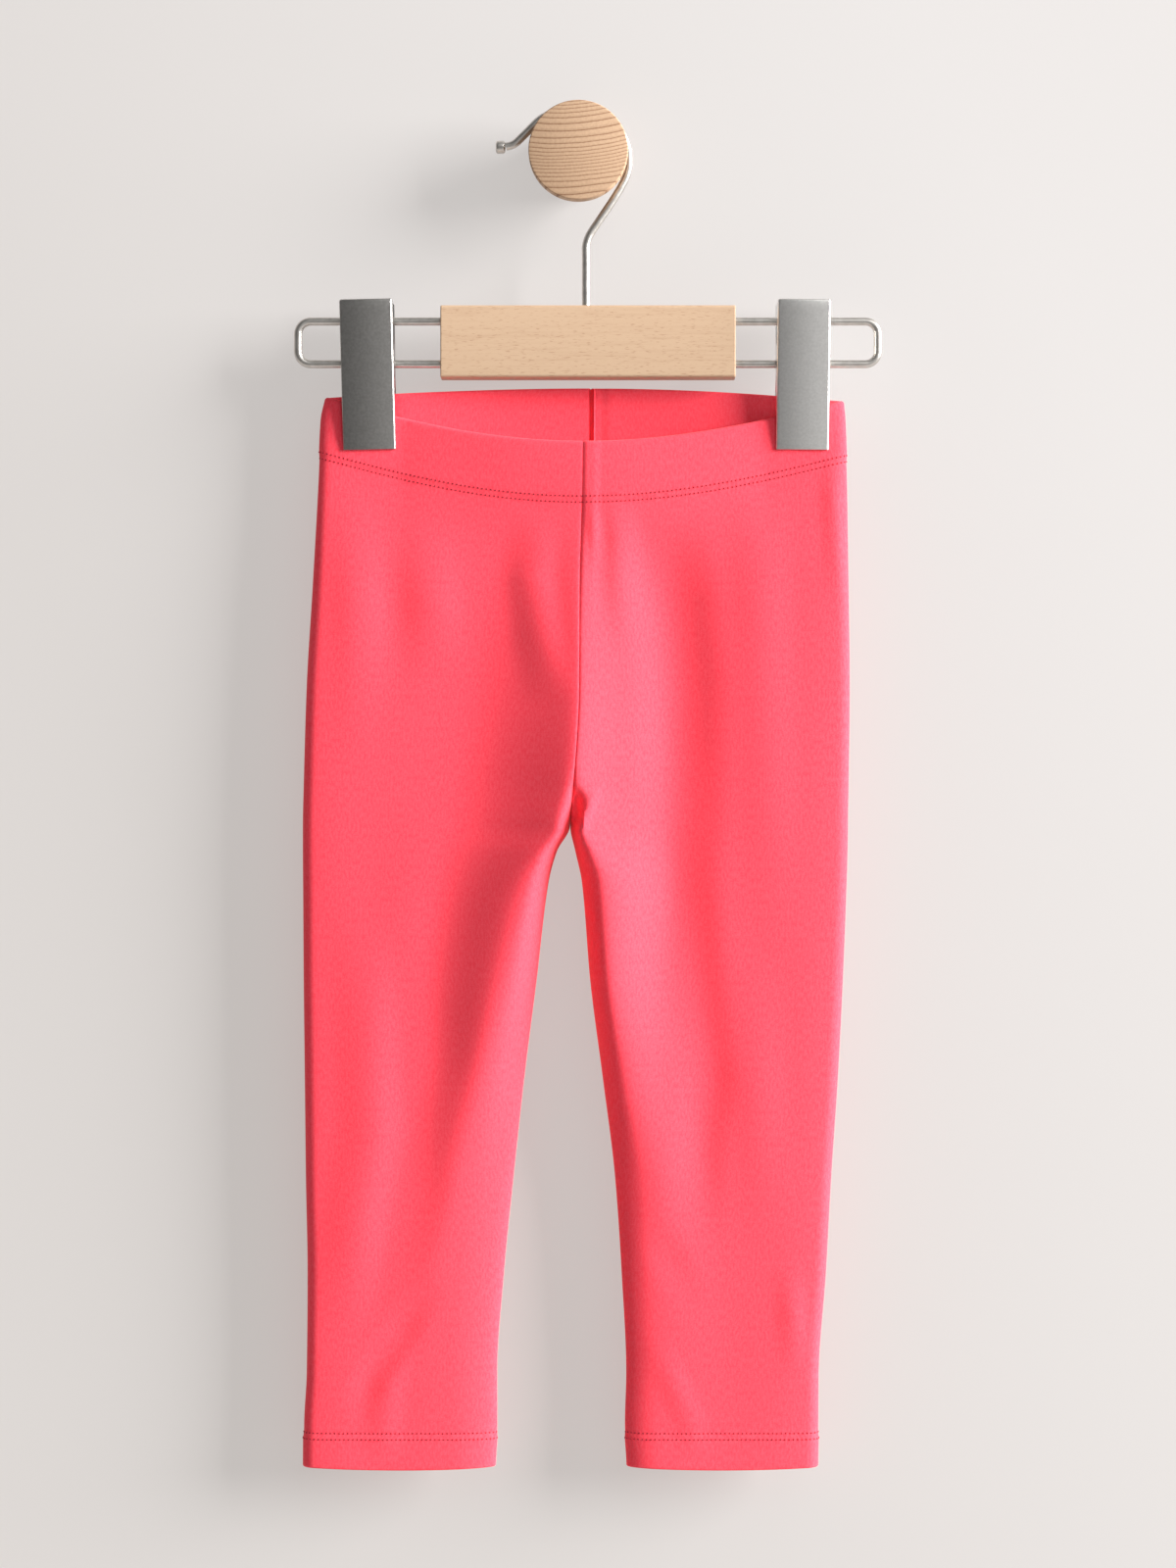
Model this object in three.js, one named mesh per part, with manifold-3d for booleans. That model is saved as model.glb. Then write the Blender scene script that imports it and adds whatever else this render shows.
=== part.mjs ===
// A small child's pull-on jersey leggings, held by the two clips of a wooden hanger whose hook hangs on a
// round wooden wall peg.
// Millimetres, +Z up. The wall is the plane y = 0 and the garment's front faces -Y.
// The origin is the centre of the peg's back face, on the wall.
import * as THREE from 'three'
import { mergeVertices } from 'three/addons/utils/BufferGeometryUtils.js'
import Module from 'manifold-3d'

const wasm = await Module()
wasm.setup()

// Space between two pieces that meet
const gap = 0.3

// The wall peg: a turned neck and a wider round head
const peg = { neckRadius: 17.3, headRadius: 23, headBack: -25, front: -34, edge: 0.8 }

// The hanger's own plane, and the places of its parts in it
const hangerX = 4.5
const hangerY = -22
const wireRadius = 1.9
const upperWire = -78
const lowerWire = -97.8
const loopReach = 134.6
const loopCorner = 5.9
const bar = { length: 136.6, height: 33.5, thickness: 15, corner: 2 }
const barZ = (upperWire + lowerWire) / 2
const wireEnd = 5
const bore = wireRadius + gap

// The hook, by [x, z] from the peg's axis: a stem, a slanting neck, a round top that rests on the peg, and
// a tip that turns out to a knob
const hookStem = { x: 3.6, top: -46, seat: 20 }
const hookBend = [
  [3.7, -42.4], [5.4, -37.6], [9.8, -31], [15.7, -22.3], [20.3, -14.7], [22.8, -8.8], [23.4, -2.8],
  [22.5, 4], [19.6, 10.1], [14.7, 15], [8.2, 18.4], [1.4, 19.5], [-5.8, 19.6], [-12.6, 18.4],
  [-17, 16.3], [-20, 13.8], [-23, 10.8], [-26.4, 7.4], [-29.2, 4.8], [-31.4, 3.7], [-33.6, 3.2],
]
const hookSteps = 44
const knob = { x: -36.1, z: 2.9, radius: 3, length: 4.4 }

// The clips: two leaning plates that turn on the lower wire and pinch the waistband
const clip = {
  width: 24.5, thickness: 1.2, lug: 1.2, lugRadius: 4.9, wireHole: wireRadius + 0.7,
  jawZ: -40, jawY: 5.6, topZ: 29, topY: 12.5, flange: 3.4,
  frontFlange: { start: -34, full: -14 },
  backFlange: { start: -12.6, lap: 0.6, neckY: 3.5, neckZ: 9.5, rim: 18, swellFrom: -115, swellTo: -245 },
}
// How far a cutting solid runs past what it cuts
const past = 1
const clips = [
  { name: 'left', x: -102, lean: -1.2 },
  { name: 'right', x: 99.6, lean: 0.5 },
]
const springRadius = 3.6

// The garment: its highest point, and the thickness of its single cloth, its casing and its hems
const waistZ = -108
const cloth = 1.2
const casing = { height: 28.5, wall: 2.9, proud: 0.5, edgeIn: 1, edgeDown: 0.9 }
const hem = { height: 17, wall: 2, proud: 0.4, edge: 0.6 }
const legEnd = 502
const hemTop = legEnd - hem.height

// The waist edge, as drops below the highest point: it dips at the front, and each side has its own corner
const waistDrop = { front: 26, back: 0.3, left: 5.2, right: 6.8 }
const crotchDrop = 204
const crotchStart = 172

// The outline from the front, hung flat: x of both outer edges and of both inner edges.
// Above the crotch the inner edges are one line, the centre seam, and they part at the crotch's corner.
const outline = [
  { drop: 0, outLeft: -120.9, inLeft: -2.3, inRight: -2.3, outRight: 117.9 },
  { drop: 16, outLeft: -123.8, inLeft: -2.3, inRight: -2.3, outRight: 119.2 },
  { drop: 44, outLeft: -125.1, inLeft: -2.6, inRight: -2.6, outRight: 120.2 },
  { drop: 94, outLeft: -127.9, inLeft: -3.8, inRight: -3.8, outRight: 121 },
  { drop: 139, outLeft: -130.6, inLeft: -4, inRight: -4, outRight: 121.5 },
  { drop: 185, outLeft: -132, inLeft: -6.6, inRight: -6.6, outRight: 121 },
  { drop: 204, outLeft: -132.4, inLeft: -8.3, inRight: -8.3, outRight: 120.7, corner: true },
  { drop: 216, outLeft: -132.4, inLeft: -14.4, inRight: -5.9, outRight: 120.5 },
  { drop: 230, outLeft: -132.3, inLeft: -18.2, inRight: -2.9, outRight: 120.1 },
  { drop: 276, outLeft: -132, inLeft: -23.9, inRight: 1, outRight: 118.3 },
  { drop: 321, outLeft: -131.5, inLeft: -29.6, inRight: 6.8, outRight: 116 },
  { drop: 367, outLeft: -131, inLeft: -34.6, inRight: 12.5, outRight: 112.9 },
  { drop: 412, outLeft: -130.2, inLeft: -39.1, inRight: 15.6, outRight: 110.4 },
  { drop: 458, outLeft: -130.6, inLeft: -42.2, inRight: 17.7, outRight: 107.1 },
  { drop: 481, outLeft: -131.8, inLeft: -42.1, inRight: 17.1, outRight: 106.9 },
  { drop: 502, outLeft: -132, inLeft: -43.2, inRight: 18.2, outRight: 106.5 },
]

// The depth, seen from the side: half the thickness of the hanging tube, the height and width of the fold
// that the seat and crotch push out at front and back, and how far it lies from each leg's inner edge
const depths = [
  { drop: 0, half: 6, fold: 0, foldWidth: 30, inFromLeft: 0, inFromRight: 0 },
  { drop: 50, half: 5.6, fold: 0.2, foldWidth: 32, inFromLeft: 0, inFromRight: 0 },
  { drop: 85, half: 5.8, fold: 3, foldWidth: 38, inFromLeft: 0, inFromRight: 0 },
  { drop: 140, half: 6.2, fold: 7.5, foldWidth: 48, inFromLeft: 0, inFromRight: 0 },
  { drop: 185, half: 6.5, fold: 10.5, foldWidth: 52, inFromLeft: 2, inFromRight: 1 },
  { drop: 204, half: 6.6, fold: 10.5, foldWidth: 52, inFromLeft: 8, inFromRight: 6 },
  { drop: 230, half: 6.6, fold: 9, foldWidth: 48, inFromLeft: 14, inFromRight: 8 },
  { drop: 276, half: 6.6, fold: 6.5, foldWidth: 44, inFromLeft: 21, inFromRight: 11 },
  { drop: 321, half: 6.5, fold: 4, foldWidth: 42, inFromLeft: 25, inFromRight: 13 },
  { drop: 380, half: 6.4, fold: 1.5, foldWidth: 40, inFromLeft: 24, inFromRight: 14 },
  { drop: 440, half: 6.2, fold: 0.2, foldWidth: 40, inFromLeft: 14, inFromRight: 12 },
  { drop: 502, half: 6, fold: 0, foldWidth: 40, inFromLeft: 10, inFromRight: 10 },
]
const outerTurn = 9
const innerTurn = 7
const waistOpen = 8.5
const waistPinch = 3.6
const waistFree = { start: 34, end: 88 }
const pinchReach = 84

// Rows of the leg panels below the casing: the drop at the side, and how much of the waist's dip stays
const legRows = [
  { drop: 54, dip: 0.62 }, { drop: 74, dip: 0.34 }, { drop: 97, dip: 0.12 }, { drop: 120, dip: 0 },
  { drop: 143, dip: 0 }, { drop: 161, dip: 0 }, { drop: 175, dip: 0 }, { drop: 186, dip: 0 },
  { drop: 195, dip: 0 }, { drop: 201, dip: 0 }, { drop: crotchDrop, dip: 0 }, { drop: 209, dip: 0 },
  { drop: 217, dip: 0 }, { drop: 230, dip: 0 }, { drop: 250, dip: 0 }, { drop: 276, dip: 0 },
  { drop: 305, dip: 0 }, { drop: 336, dip: 0 }, { drop: 367, dip: 0 }, { drop: 397, dip: 0 },
  { drop: 426, dip: 0 }, { drop: 452, dip: 0 }, { drop: 470, dip: 0 }, { drop: hemTop - gap, dip: 0 },
]
const crotchRow = 1 + legRows.findIndex((row) => row.drop === crotchDrop)
const facePoints = 14

const degrees = Math.PI / 180
const clamp = THREE.MathUtils.clamp
const mix = THREE.MathUtils.lerp
const ease = THREE.MathUtils.smoothstep

function steel(color) {
  return new THREE.MeshStandardMaterial({ color, roughness: 0.32, metalness: 1 })
}

function jersey() {
  return new THREE.MeshStandardMaterial({ color: '#fb6374', roughness: 0.92, metalness: 0 })
}

function beech() {
  return new THREE.MeshStandardMaterial({ color: '#debc9b', roughness: 0.6, metalness: 0 })
}

function pine() {
  return new THREE.MeshStandardMaterial({ color: '#cba688', roughness: 0.65, metalness: 0 })
}

// The slope of one column at one row of a table, flat at a corner and where the column turns back
function slopeAt(table, index, column) {
  const before = table[index - 1]
  const here = table[index]
  const after = table[index + 1]
  if (!before || !after || here.corner) return 0
  const rise = (here[column] - before[column]) / (here.drop - before.drop)
  const fall = (after[column] - here[column]) / (after.drop - here.drop)
  return rise * fall <= 0 ? 0 : (2 * rise * fall) / (rise + fall)
}

// A column of a table at any drop, on a smooth curve through its rows
function valueAt(table, drop, column) {
  const last = table.length - 1
  const height = clamp(drop, table[0].drop, table[last].drop)
  const index = Math.min(table.findLastIndex((row) => row.drop <= height), last - 1)
  const low = table[index]
  const high = table[index + 1]
  const span = high.drop - low.drop
  const t = (height - low.drop) / span
  const bend = (1 - t) * (1 - t) * t * slopeAt(table, index, column)
  const turn = t * t * (1 - t) * slopeAt(table, index + 1, column)
  return mix(low[column], high[column], t * t * (3 - 2 * t)) + span * (bend - turn)
}

// From 0 at an edge to 1 a turn's length inside it, round as a quarter of an ellipse
function roundOff(distance, turn) {
  const t = clamp(distance / turn, 0, 1)
  return Math.sqrt(1 - (1 - t) * (1 - t))
}

// Half the tube's thickness away from its edges and its folds
function restDepth(x, drop) {
  const across = clamp((x - outline[0].inLeft) / pinchReach, -1, 1)
  const waist = mix(waistPinch, waistOpen, Math.cos((across * Math.PI) / 2))
  return mix(waist, valueAt(depths, drop, 'half'), ease(drop, waistFree.start, waistFree.end))
}

// A point of the cloth's outer face. side is -1 on the left and 1 on the right. turn runs from 0 at the
// front seam or inner edge, over 0.5 at the outer edge, to 1 at the back seam or inner edge.
function clothPoint(side, turn, drop) {
  const left = side < 0
  const inner = valueAt(outline, drop, left ? 'inLeft' : 'inRight') + (side * gap) / 2
  const outer = valueAt(outline, drop, left ? 'outLeft' : 'outRight')
  const width = Math.abs(outer - inner)
  const front = turn <= 0.5
  const fromSeam = front ? turn * 2 : (1 - turn) * 2
  const share = (1 - Math.cos(Math.PI * fromSeam)) / 2
  const distance = width * share
  const x = inner + side * distance
  const foldIn = valueAt(depths, drop, left ? 'inFromLeft' : 'inFromRight')
  const away = clamp(Math.abs(distance - foldIn) / valueAt(depths, drop, 'foldWidth'), 0, 1)
  const fold = (valueAt(depths, drop, 'fold') * (1 + Math.cos(Math.PI * away))) / 2
  const full = (restDepth(x, drop) + fold) * roundOff(width - distance, outerTurn)
  const closing = clamp((drop - crotchStart) / (crotchDrop - crotchStart), 0, 1)
  const seam = full * Math.sqrt(1 - closing * closing)
  const depth = mix(seam, full, roundOff(distance, innerTurn + foldIn))
  return new THREE.Vector3(hangerX + x, hangerY + (front ? -depth : depth), waistZ - drop)
}

// The drop of the waist edge at a turn
function waistEdge(side, turn) {
  const corner = side < 0 ? waistDrop.left : waistDrop.right
  const front = turn <= 0.5
  const fromSeam = front ? turn * 2 : (1 - turn) * 2
  const share = (1 - Math.cos(Math.PI * fromSeam)) / 2
  const centre = front ? waistDrop.front : waistDrop.back
  return mix(corner, centre, Math.cos((share * Math.PI) / 2))
}

// Outward directions at the points of a grid, averaged over the faces round each point
function gridNormals(grid, side, closedFrom) {
  const last = grid[0].length - 1
  const normals = grid.map((row) => row.map(() => new THREE.Vector3()))
  for (let r = 0; r < grid.length - 1; r += 1) {
    for (let c = 0; c < last; c += 1) {
      const down = grid[r + 1][c + 1].clone().sub(grid[r][c])
      const across = grid[r][c + 1].clone().sub(grid[r + 1][c])
      const face = down.cross(across).multiplyScalar(side)
      for (const [row, column] of [[r, c], [r + 1, c], [r, c + 1], [r + 1, c + 1]]) {
        normals[row][column].add(face)
      }
    }
  }
  for (let r = closedFrom; r < grid.length; r += 1) {
    normals[r][0].add(normals[r][last])
    normals[r][last].copy(normals[r][0])
  }
  return normals.map((row) => row.map((normal) => normal.normalize()))
}

// A closed wall on a grid of outer points. Rows from closedFrom on are rings, the others are open at both
// ends. wall gives, for each row, how far the outer face is moved out and the thickness under it.
function wallOnGrid(grid, side, closedFrom, wall) {
  const rows = grid.length
  const last = grid[0].length - 1
  const normals = gridNormals(grid, side, closedFrom)
  const vertices = []
  const faces = []
  for (let r = 0; r < rows; r += 1) {
    for (let c = 0; c <= last; c += 1) {
      const out = wall(r).out
      const outer = grid[r][c].clone().addScaledVector(normals[r][c], out)
      const inner = grid[r][c].clone().addScaledVector(normals[r][c], out - wall(r).thickness)
      vertices.push(...outer.toArray(), ...inner.toArray())
    }
  }
  const at = (r, c, isInner) => 2 * (r * (last + 1) + (r >= closedFrom && c === last ? 0 : c)) + isInner
  const face = (a, b, c) => faces.push(...(side > 0 ? [a, b, c] : [a, c, b]))
  const quad = (a, b, c, d) => {
    face(a, b, c)
    face(a, c, d)
  }
  for (let c = 0; c < last; c += 1) {
    for (let r = 0; r < rows - 1; r += 1) {
      quad(at(r, c, 0), at(r + 1, c, 0), at(r + 1, c + 1, 0), at(r, c + 1, 0))
      quad(at(r, c, 1), at(r, c + 1, 1), at(r + 1, c + 1, 1), at(r + 1, c, 1))
    }
    quad(at(0, c, 0), at(0, c + 1, 0), at(0, c + 1, 1), at(0, c, 1))
    quad(at(rows - 1, c, 0), at(rows - 1, c, 1), at(rows - 1, c + 1, 1), at(rows - 1, c + 1, 0))
  }
  for (let r = 0; r < Math.min(closedFrom, rows - 1); r += 1) {
    quad(at(r, 0, 0), at(r, 0, 1), at(r + 1, 0, 1), at(r + 1, 0, 0))
    quad(at(r, last, 0), at(r + 1, last, 0), at(r + 1, last, 1), at(r, last, 1))
  }
  const geometry = new THREE.BufferGeometry()
  geometry.setAttribute('position', new THREE.Float32BufferAttribute(vertices, 3))
  geometry.setIndex(faces)
  return geometry
}

// A grid of the cloth's outer face: dropAt gives the drop of each row at a turn
function clothGrid(side, rows, dropAt) {
  return Array.from({ length: rows }, (_, r) =>
    Array.from({ length: 2 * facePoints + 1 }, (_, c) => {
      const turn = c / (2 * facePoints)
      return clothPoint(side, turn, dropAt(r, turn))
    }))
}

// One leg's panel: front and back in one, a tube below the crotch and open along the centre seam above it
function legPanel(side) {
  const corner = side < 0 ? waistDrop.left : waistDrop.right
  const grid = clothGrid(side, legRows.length + 1, (r, turn) => {
    const edge = waistEdge(side, turn)
    if (r === 0) return edge + casing.height + gap
    return legRows[r - 1].drop + legRows[r - 1].dip * (edge - corner)
  })
  return wallOnGrid(grid, side, crotchRow, () => ({ out: 0, thickness: cloth }))
}

// Half of the turned casing round the waist, with a rounded upper edge
function casingHalf(side) {
  const rows = [
    { down: 0, out: casing.proud - casing.edgeIn, thickness: casing.wall - 2 * casing.edgeIn },
    { down: casing.edgeDown, out: casing.proud, thickness: casing.wall },
    { down: casing.height / 2, out: casing.proud, thickness: casing.wall },
    { down: casing.height, out: casing.proud, thickness: casing.wall },
  ]
  const grid = clothGrid(side, rows.length, (r, turn) => waistEdge(side, turn) + rows[r].down)
  return wallOnGrid(grid, side, rows.length, (r) => rows[r])
}

// The turned-up hem at one ankle, with a rounded lower edge
function ankleHem(side) {
  const rows = [
    { down: 0, out: hem.proud, thickness: hem.wall },
    { down: hem.height / 2, out: hem.proud, thickness: hem.wall },
    { down: hem.height - hem.edge, out: hem.proud, thickness: hem.wall },
    { down: hem.height, out: hem.proud - hem.edge, thickness: hem.wall - 2 * hem.edge },
  ]
  const grid = clothGrid(side, rows.length, (r) => hemTop + rows[r].down)
  return wallOnGrid(grid, side, 0, (r) => rows[r])
}

// A route that is sampled just where its points are
class Route extends THREE.Curve {
  constructor(points) {
    super()
    this.points = points
  }

  getPointAt(u, target = new THREE.Vector3()) {
    return target.copy(this.points[Math.round(u * (this.points.length - 1))])
  }

  getTangentAt(u, target = new THREE.Vector3()) {
    const index = Math.round(u * (this.points.length - 1))
    const before = this.points[Math.max(index - 1, 0)]
    const after = this.points[Math.min(index + 1, this.points.length - 1)]
    return target.copy(after).sub(before).normalize()
  }
}

// Points of an arc in the hanger's plane, angles in degrees from +X towards +Z
function arc(x, z, radius, start, end, steps) {
  return Array.from({ length: steps + 1 }, (_, i) => {
    const angle = mix(start, end, i / steps) * degrees
    return new THREE.Vector3(x + radius * Math.cos(angle), 0, z + radius * Math.sin(angle))
  })
}

// Round wire along points in the hanger's plane
function wire(points) {
  const section = new THREE.Shape()
  section.absarc(0, 0, wireRadius, 0, 2 * Math.PI)
  const settings = { extrudePath: new Route(points), steps: points.length - 1, curveSegments: 6 }
  return new THREE.ExtrudeGeometry(section, settings)
}

// One bent end of the hanger's frame: two straight wires out of the bar, joined by round corners
function loopEnd(side) {
  const cornerX = loopReach - loopCorner
  const upper = arc(cornerX, upperWire - loopCorner, loopCorner, 90, 0, 5)
  const lower = arc(cornerX, lowerWire + loopCorner, loopCorner, 0, -90, 5)
  const start = new THREE.Vector3(wireEnd, 0, upperWire)
  const end = new THREE.Vector3(wireEnd, 0, lowerWire)
  const points = [start, ...upper, ...lower, end]
  for (const point of points) point.x *= side
  return wire(points)
}

// The hook, from its seat in the bar to its turned-out tip
function hook() {
  const at = ([x, z]) => new THREE.Vector3(x - hangerX, 0, z)
  const seat = at([hookStem.x, barZ + bar.height / 2 - hookStem.seat])
  const bent = new THREE.CatmullRomCurve3([[hookStem.x, hookStem.top], ...hookBend].map(at))
  return wire([seat, ...bent.getSpacedPoints(hookSteps)])
}

// The small turned knob on the hook's end, past the wire's cut face
function hookKnob() {
  const ball = new THREE.SphereGeometry(knob.radius, 16, 10)
  ball.scale(knob.length / 2 / knob.radius, 1, 1)
  ball.translate(knob.x - hangerX, 0, knob.z)
  return ball
}

// A solid for cutting and joining, from any closed geometry
function solidOf(geometry) {
  const plain = geometry.clone()
  plain.deleteAttribute('normal')
  plain.deleteAttribute('uv')
  const merged = mergeVertices(plain, 1e-4)
  const vertProperties = new Float32Array(merged.attributes.position.array)
  const triVerts = new Uint32Array(merged.index.array)
  return new wasm.Manifold(new wasm.Mesh({ numProp: 3, vertProperties, triVerts }))
}

function geometryOf(solid) {
  const mesh = solid.getMesh()
  const geometry = new THREE.BufferGeometry()
  geometry.setAttribute('position', new THREE.BufferAttribute(mesh.vertProperties, 3))
  geometry.setIndex(new THREE.BufferAttribute(mesh.triVerts, 1))
  return geometry
}

// A side outline of [y, z] points, pushed from x = from to x = to
function acrossX(outlinePoints, from, to, holes = []) {
  const shape = new THREE.Shape(outlinePoints.map(([y, z]) => new THREE.Vector2(y, z)))
  shape.holes = holes.map((hole) => new THREE.Path().absarc(hole.y, hole.z, hole.radius, 0, 2 * Math.PI))
  const settings = { depth: to - from, bevelEnabled: false, curveSegments: 8 }
  const geometry = new THREE.ExtrudeGeometry(shape, settings)
  const axes = [new THREE.Vector3(0, 1, 0), new THREE.Vector3(0, 0, 1), new THREE.Vector3(1, 0, 0)]
  geometry.applyMatrix4(new THREE.Matrix4().makeBasis(...axes))
  geometry.translate(from, 0, 0)
  return geometry
}

// The outer face of a clip plate leans in a straight line from its jaw to its top
function plateY(z) {
  return mix(clip.jawY, clip.topY, (z - clip.jawZ) / (clip.topZ - clip.jawZ))
}

// A pressed plate with side flanges and a top lip. The outline is for the back, and face -1 turns it to
// the front. edge lists the flange's free edge from the jaw up, as [depth, height] points.
function pressedPlate(face, edge) {
  const half = clip.width / 2
  const turn = ([y, z]) => [face * y, z]
  const skin = [[plateY(clip.jawZ), clip.jawZ], [plateY(clip.topZ), clip.topZ]]
  const body = solidOf(acrossX([...skin, ...edge.toReversed()].map(turn), -half, half))
  const far = -3 * clip.lugRadius
  const low = clip.jawZ - past
  const high = clip.topZ - clip.thickness
  const inner = [low, high].map((z) => [plateY(z) - clip.thickness, z])
  const room = [...inner, [far, high], [far, low]]
  const inside = half - clip.thickness
  return body.subtract(solidOf(acrossX(room.map(turn), -inside, inside)))
}

// The hole for the lower wire, through everything that turns on it
function wireHole() {
  const circle = Array.from({ length: 16 }, (_, i) => {
    const angle = (i / 16) * 2 * Math.PI
    return [clip.wireHole * Math.cos(angle), clip.wireHole * Math.sin(angle)]
  })
  return solidOf(acrossX(circle, -clip.width, clip.width))
}

// The back plate's flanges swell forward round the wire
function backPlate() {
  const { start, lap, neckY, neckZ, rim, swellFrom, swellTo } = clip.backFlange
  const jaw = plateY(clip.jawZ) - clip.thickness
  const round = Array.from({ length: 7 }, (_, i) => {
    const angle = mix(swellFrom, swellTo, i / 6) * degrees
    return [clip.lugRadius * Math.cos(angle), clip.lugRadius * Math.sin(angle)]
  })
  const upper = [rim, clip.topZ].map((z) => [plateY(z) - clip.flange, z])
  const edge = [[jaw, clip.jawZ], [jaw + lap, start], ...round, [neckY, neckZ], ...upper]
  return geometryOf(pressedPlate(1, edge).subtract(wireHole()))
}

// The front plate has narrow flanges, and two lugs inside the back plate's flanges take the wire
function frontPlate() {
  const { start, full } = clip.frontFlange
  const bare = [clip.jawZ, start].map((z) => [plateY(z) - clip.thickness, z])
  const flanged = [full, clip.topZ].map((z) => [plateY(z) - clip.flange, z])
  const plate = pressedPlate(-1, [...bare, ...flanged])
  const seat = -plateY(0) + clip.thickness / 2
  const lugEnd = Array.from({ length: 7 }, (_, i) => {
    const angle = mix(-90, 90, i / 6) * degrees
    return [clip.lugRadius * Math.cos(angle), clip.lugRadius * Math.sin(angle)]
  })
  const lugOutline = [[seat, -clip.lugRadius], ...lugEnd, [seat, clip.lugRadius]]
  const outside = clip.width / 2 - clip.thickness - gap
  const lugs = [-outside, outside - clip.lug].map((x) => solidOf(acrossX(lugOutline, x, x + clip.lug)))
  const joined = lugs.reduce((solid, lug) => solid.add(lug), plate)
  return geometryOf(joined.subtract(wireHole()))
}

// The spring's coils on the lower wire, as one sleeve between the lugs
function springSleeve() {
  const half = clip.width / 2 - clip.thickness - clip.lug - 2 * gap
  const profile = [[bore, -half], [springRadius, -half], [springRadius, half], [bore, half], [bore, -half]]
  const sleeve = new THREE.LatheGeometry(profile.map(([r, y]) => new THREE.Vector2(r, y)), 20)
  sleeve.rotateZ(-90 * degrees)
  return sleeve
}

// The wooden bar, bored lengthways for the two wires and from above for the hook's stem
function woodenBar() {
  const halfHeight = bar.height / 2
  const halfDepth = bar.thickness / 2
  const centres = [[-1, -1], [1, -1], [1, 1], [-1, 1]]
  const rim = centres.flatMap(([y, z], quarter) => Array.from({ length: 4 }, (_, i) => {
    const angle = (180 + 90 * quarter + 30 * i) * degrees
    const inY = y * (halfDepth - bar.corner)
    const inZ = z * (halfHeight - bar.corner)
    return [inY + bar.corner * Math.cos(angle), inZ + bar.corner * Math.sin(angle)]
  }))
  const holes = [upperWire, lowerWire].map((z) => ({ y: 0, z: z - barZ, radius: bore }))
  const block = solidOf(acrossX(rim, -bar.length / 2, bar.length / 2, holes))
  const drill = new THREE.CylinderGeometry(bore, bore, 2 * hookStem.seat + 1, 16)
  drill.rotateX(90 * degrees)
  drill.translate(hookStem.x - hangerX, 0, halfHeight)
  return geometryOf(block.subtract(solidOf(drill)))
}

// The peg, turned about its own axis, which stands out from the wall
function wallPeg() {
  const rim = peg.headRadius - peg.edge
  const profile = [
    [0, peg.front], [rim, peg.front], [peg.headRadius, peg.front + peg.edge],
    [peg.headRadius, peg.headBack - peg.edge], [rim, peg.headBack],
    [peg.neckRadius, peg.headBack], [peg.neckRadius, 0], [0, 0],
  ]
  return new THREE.LatheGeometry(profile.map(([r, y]) => new THREE.Vector2(r, y)), 48)
}

function piece(name, geometry, material) {
  const mesh = new THREE.Mesh(geometry, material)
  mesh.name = name
  return mesh
}

function garment() {
  const group = new THREE.Group()
  for (const [name, side] of [['left', -1], ['right', 1]]) {
    group.add(piece(`leg_panel_${name}`, legPanel(side), jersey()))
    group.add(piece(`waist_casing_${name}`, casingHalf(side), jersey()))
    group.add(piece(`ankle_hem_${name}`, ankleHem(side), jersey()))
  }
  return group
}

function hanger() {
  const group = new THREE.Group()
  group.position.set(hangerX, hangerY, 0)
  const wood = piece('hanger_bar', woodenBar(), beech())
  wood.position.z = barZ
  group.add(wood)
  group.add(piece('hanger_hook', hook(), steel('#b9b4ac')))
  group.add(piece('hook_knob', hookKnob(), steel('#b9b4ac')))
  group.add(piece('wire_loop_left', loopEnd(-1), steel('#aaa59e')))
  group.add(piece('wire_loop_right', loopEnd(1), steel('#aaa59e')))
  for (const { name, x, lean } of clips) {
    const body = new THREE.Group()
    body.position.set(x, 0, lowerWire)
    body.rotation.y = lean * degrees
    body.add(piece(`clip_front_${name}`, frontPlate(), steel('#a3a099')))
    body.add(piece(`clip_back_${name}`, backPlate(), steel('#a3a099')))
    group.add(body)
    const sleeve = piece(`clip_spring_${name}`, springSleeve(), steel('#8f8c86'))
    sleeve.position.set(x, 0, lowerWire)
    group.add(sleeve)
  }
  return group
}

const part = new THREE.Group()
part.add(piece('wall_peg', wallPeg(), pine()), hanger(), garment())

export default part
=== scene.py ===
# %% [markdown]
# A pair of small child's jersey leggings, clipped to a wooden hanger on a round wall peg.
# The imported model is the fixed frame: it says where every piece is and how big it is.
# This script dresses that frame. Soft cloth, thread, wood and satin steel are what has to look right.
# Everything is in metres, +Z is up, and the wall is the plane y = 0.

# %% Load the fixed frame
import math

import bmesh
import bpy
import numpy as np
from mathutils import Matrix, Vector, geometry, noise


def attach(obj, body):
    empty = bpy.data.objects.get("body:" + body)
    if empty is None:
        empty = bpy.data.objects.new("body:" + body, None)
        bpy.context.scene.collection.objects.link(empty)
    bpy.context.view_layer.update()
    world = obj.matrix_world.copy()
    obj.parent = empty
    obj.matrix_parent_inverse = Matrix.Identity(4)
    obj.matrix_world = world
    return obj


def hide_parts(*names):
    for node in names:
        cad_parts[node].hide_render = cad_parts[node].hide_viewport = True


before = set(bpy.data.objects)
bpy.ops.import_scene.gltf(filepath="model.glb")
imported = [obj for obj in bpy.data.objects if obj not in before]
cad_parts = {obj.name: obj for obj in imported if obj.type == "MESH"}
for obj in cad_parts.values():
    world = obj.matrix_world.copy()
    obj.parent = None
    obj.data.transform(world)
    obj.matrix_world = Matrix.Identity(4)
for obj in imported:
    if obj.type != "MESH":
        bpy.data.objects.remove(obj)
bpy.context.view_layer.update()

# %% [markdown]
# The camera stands straight in front of the leggings, at the height of the seat, far enough away that
# nothing is drawn bigger at the edges. A long lens does that: its focal length follows from how much
# of the wall has to fit into the picture's height. The sensor's width counts for the longer side of
# the picture, which is the height here.

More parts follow.
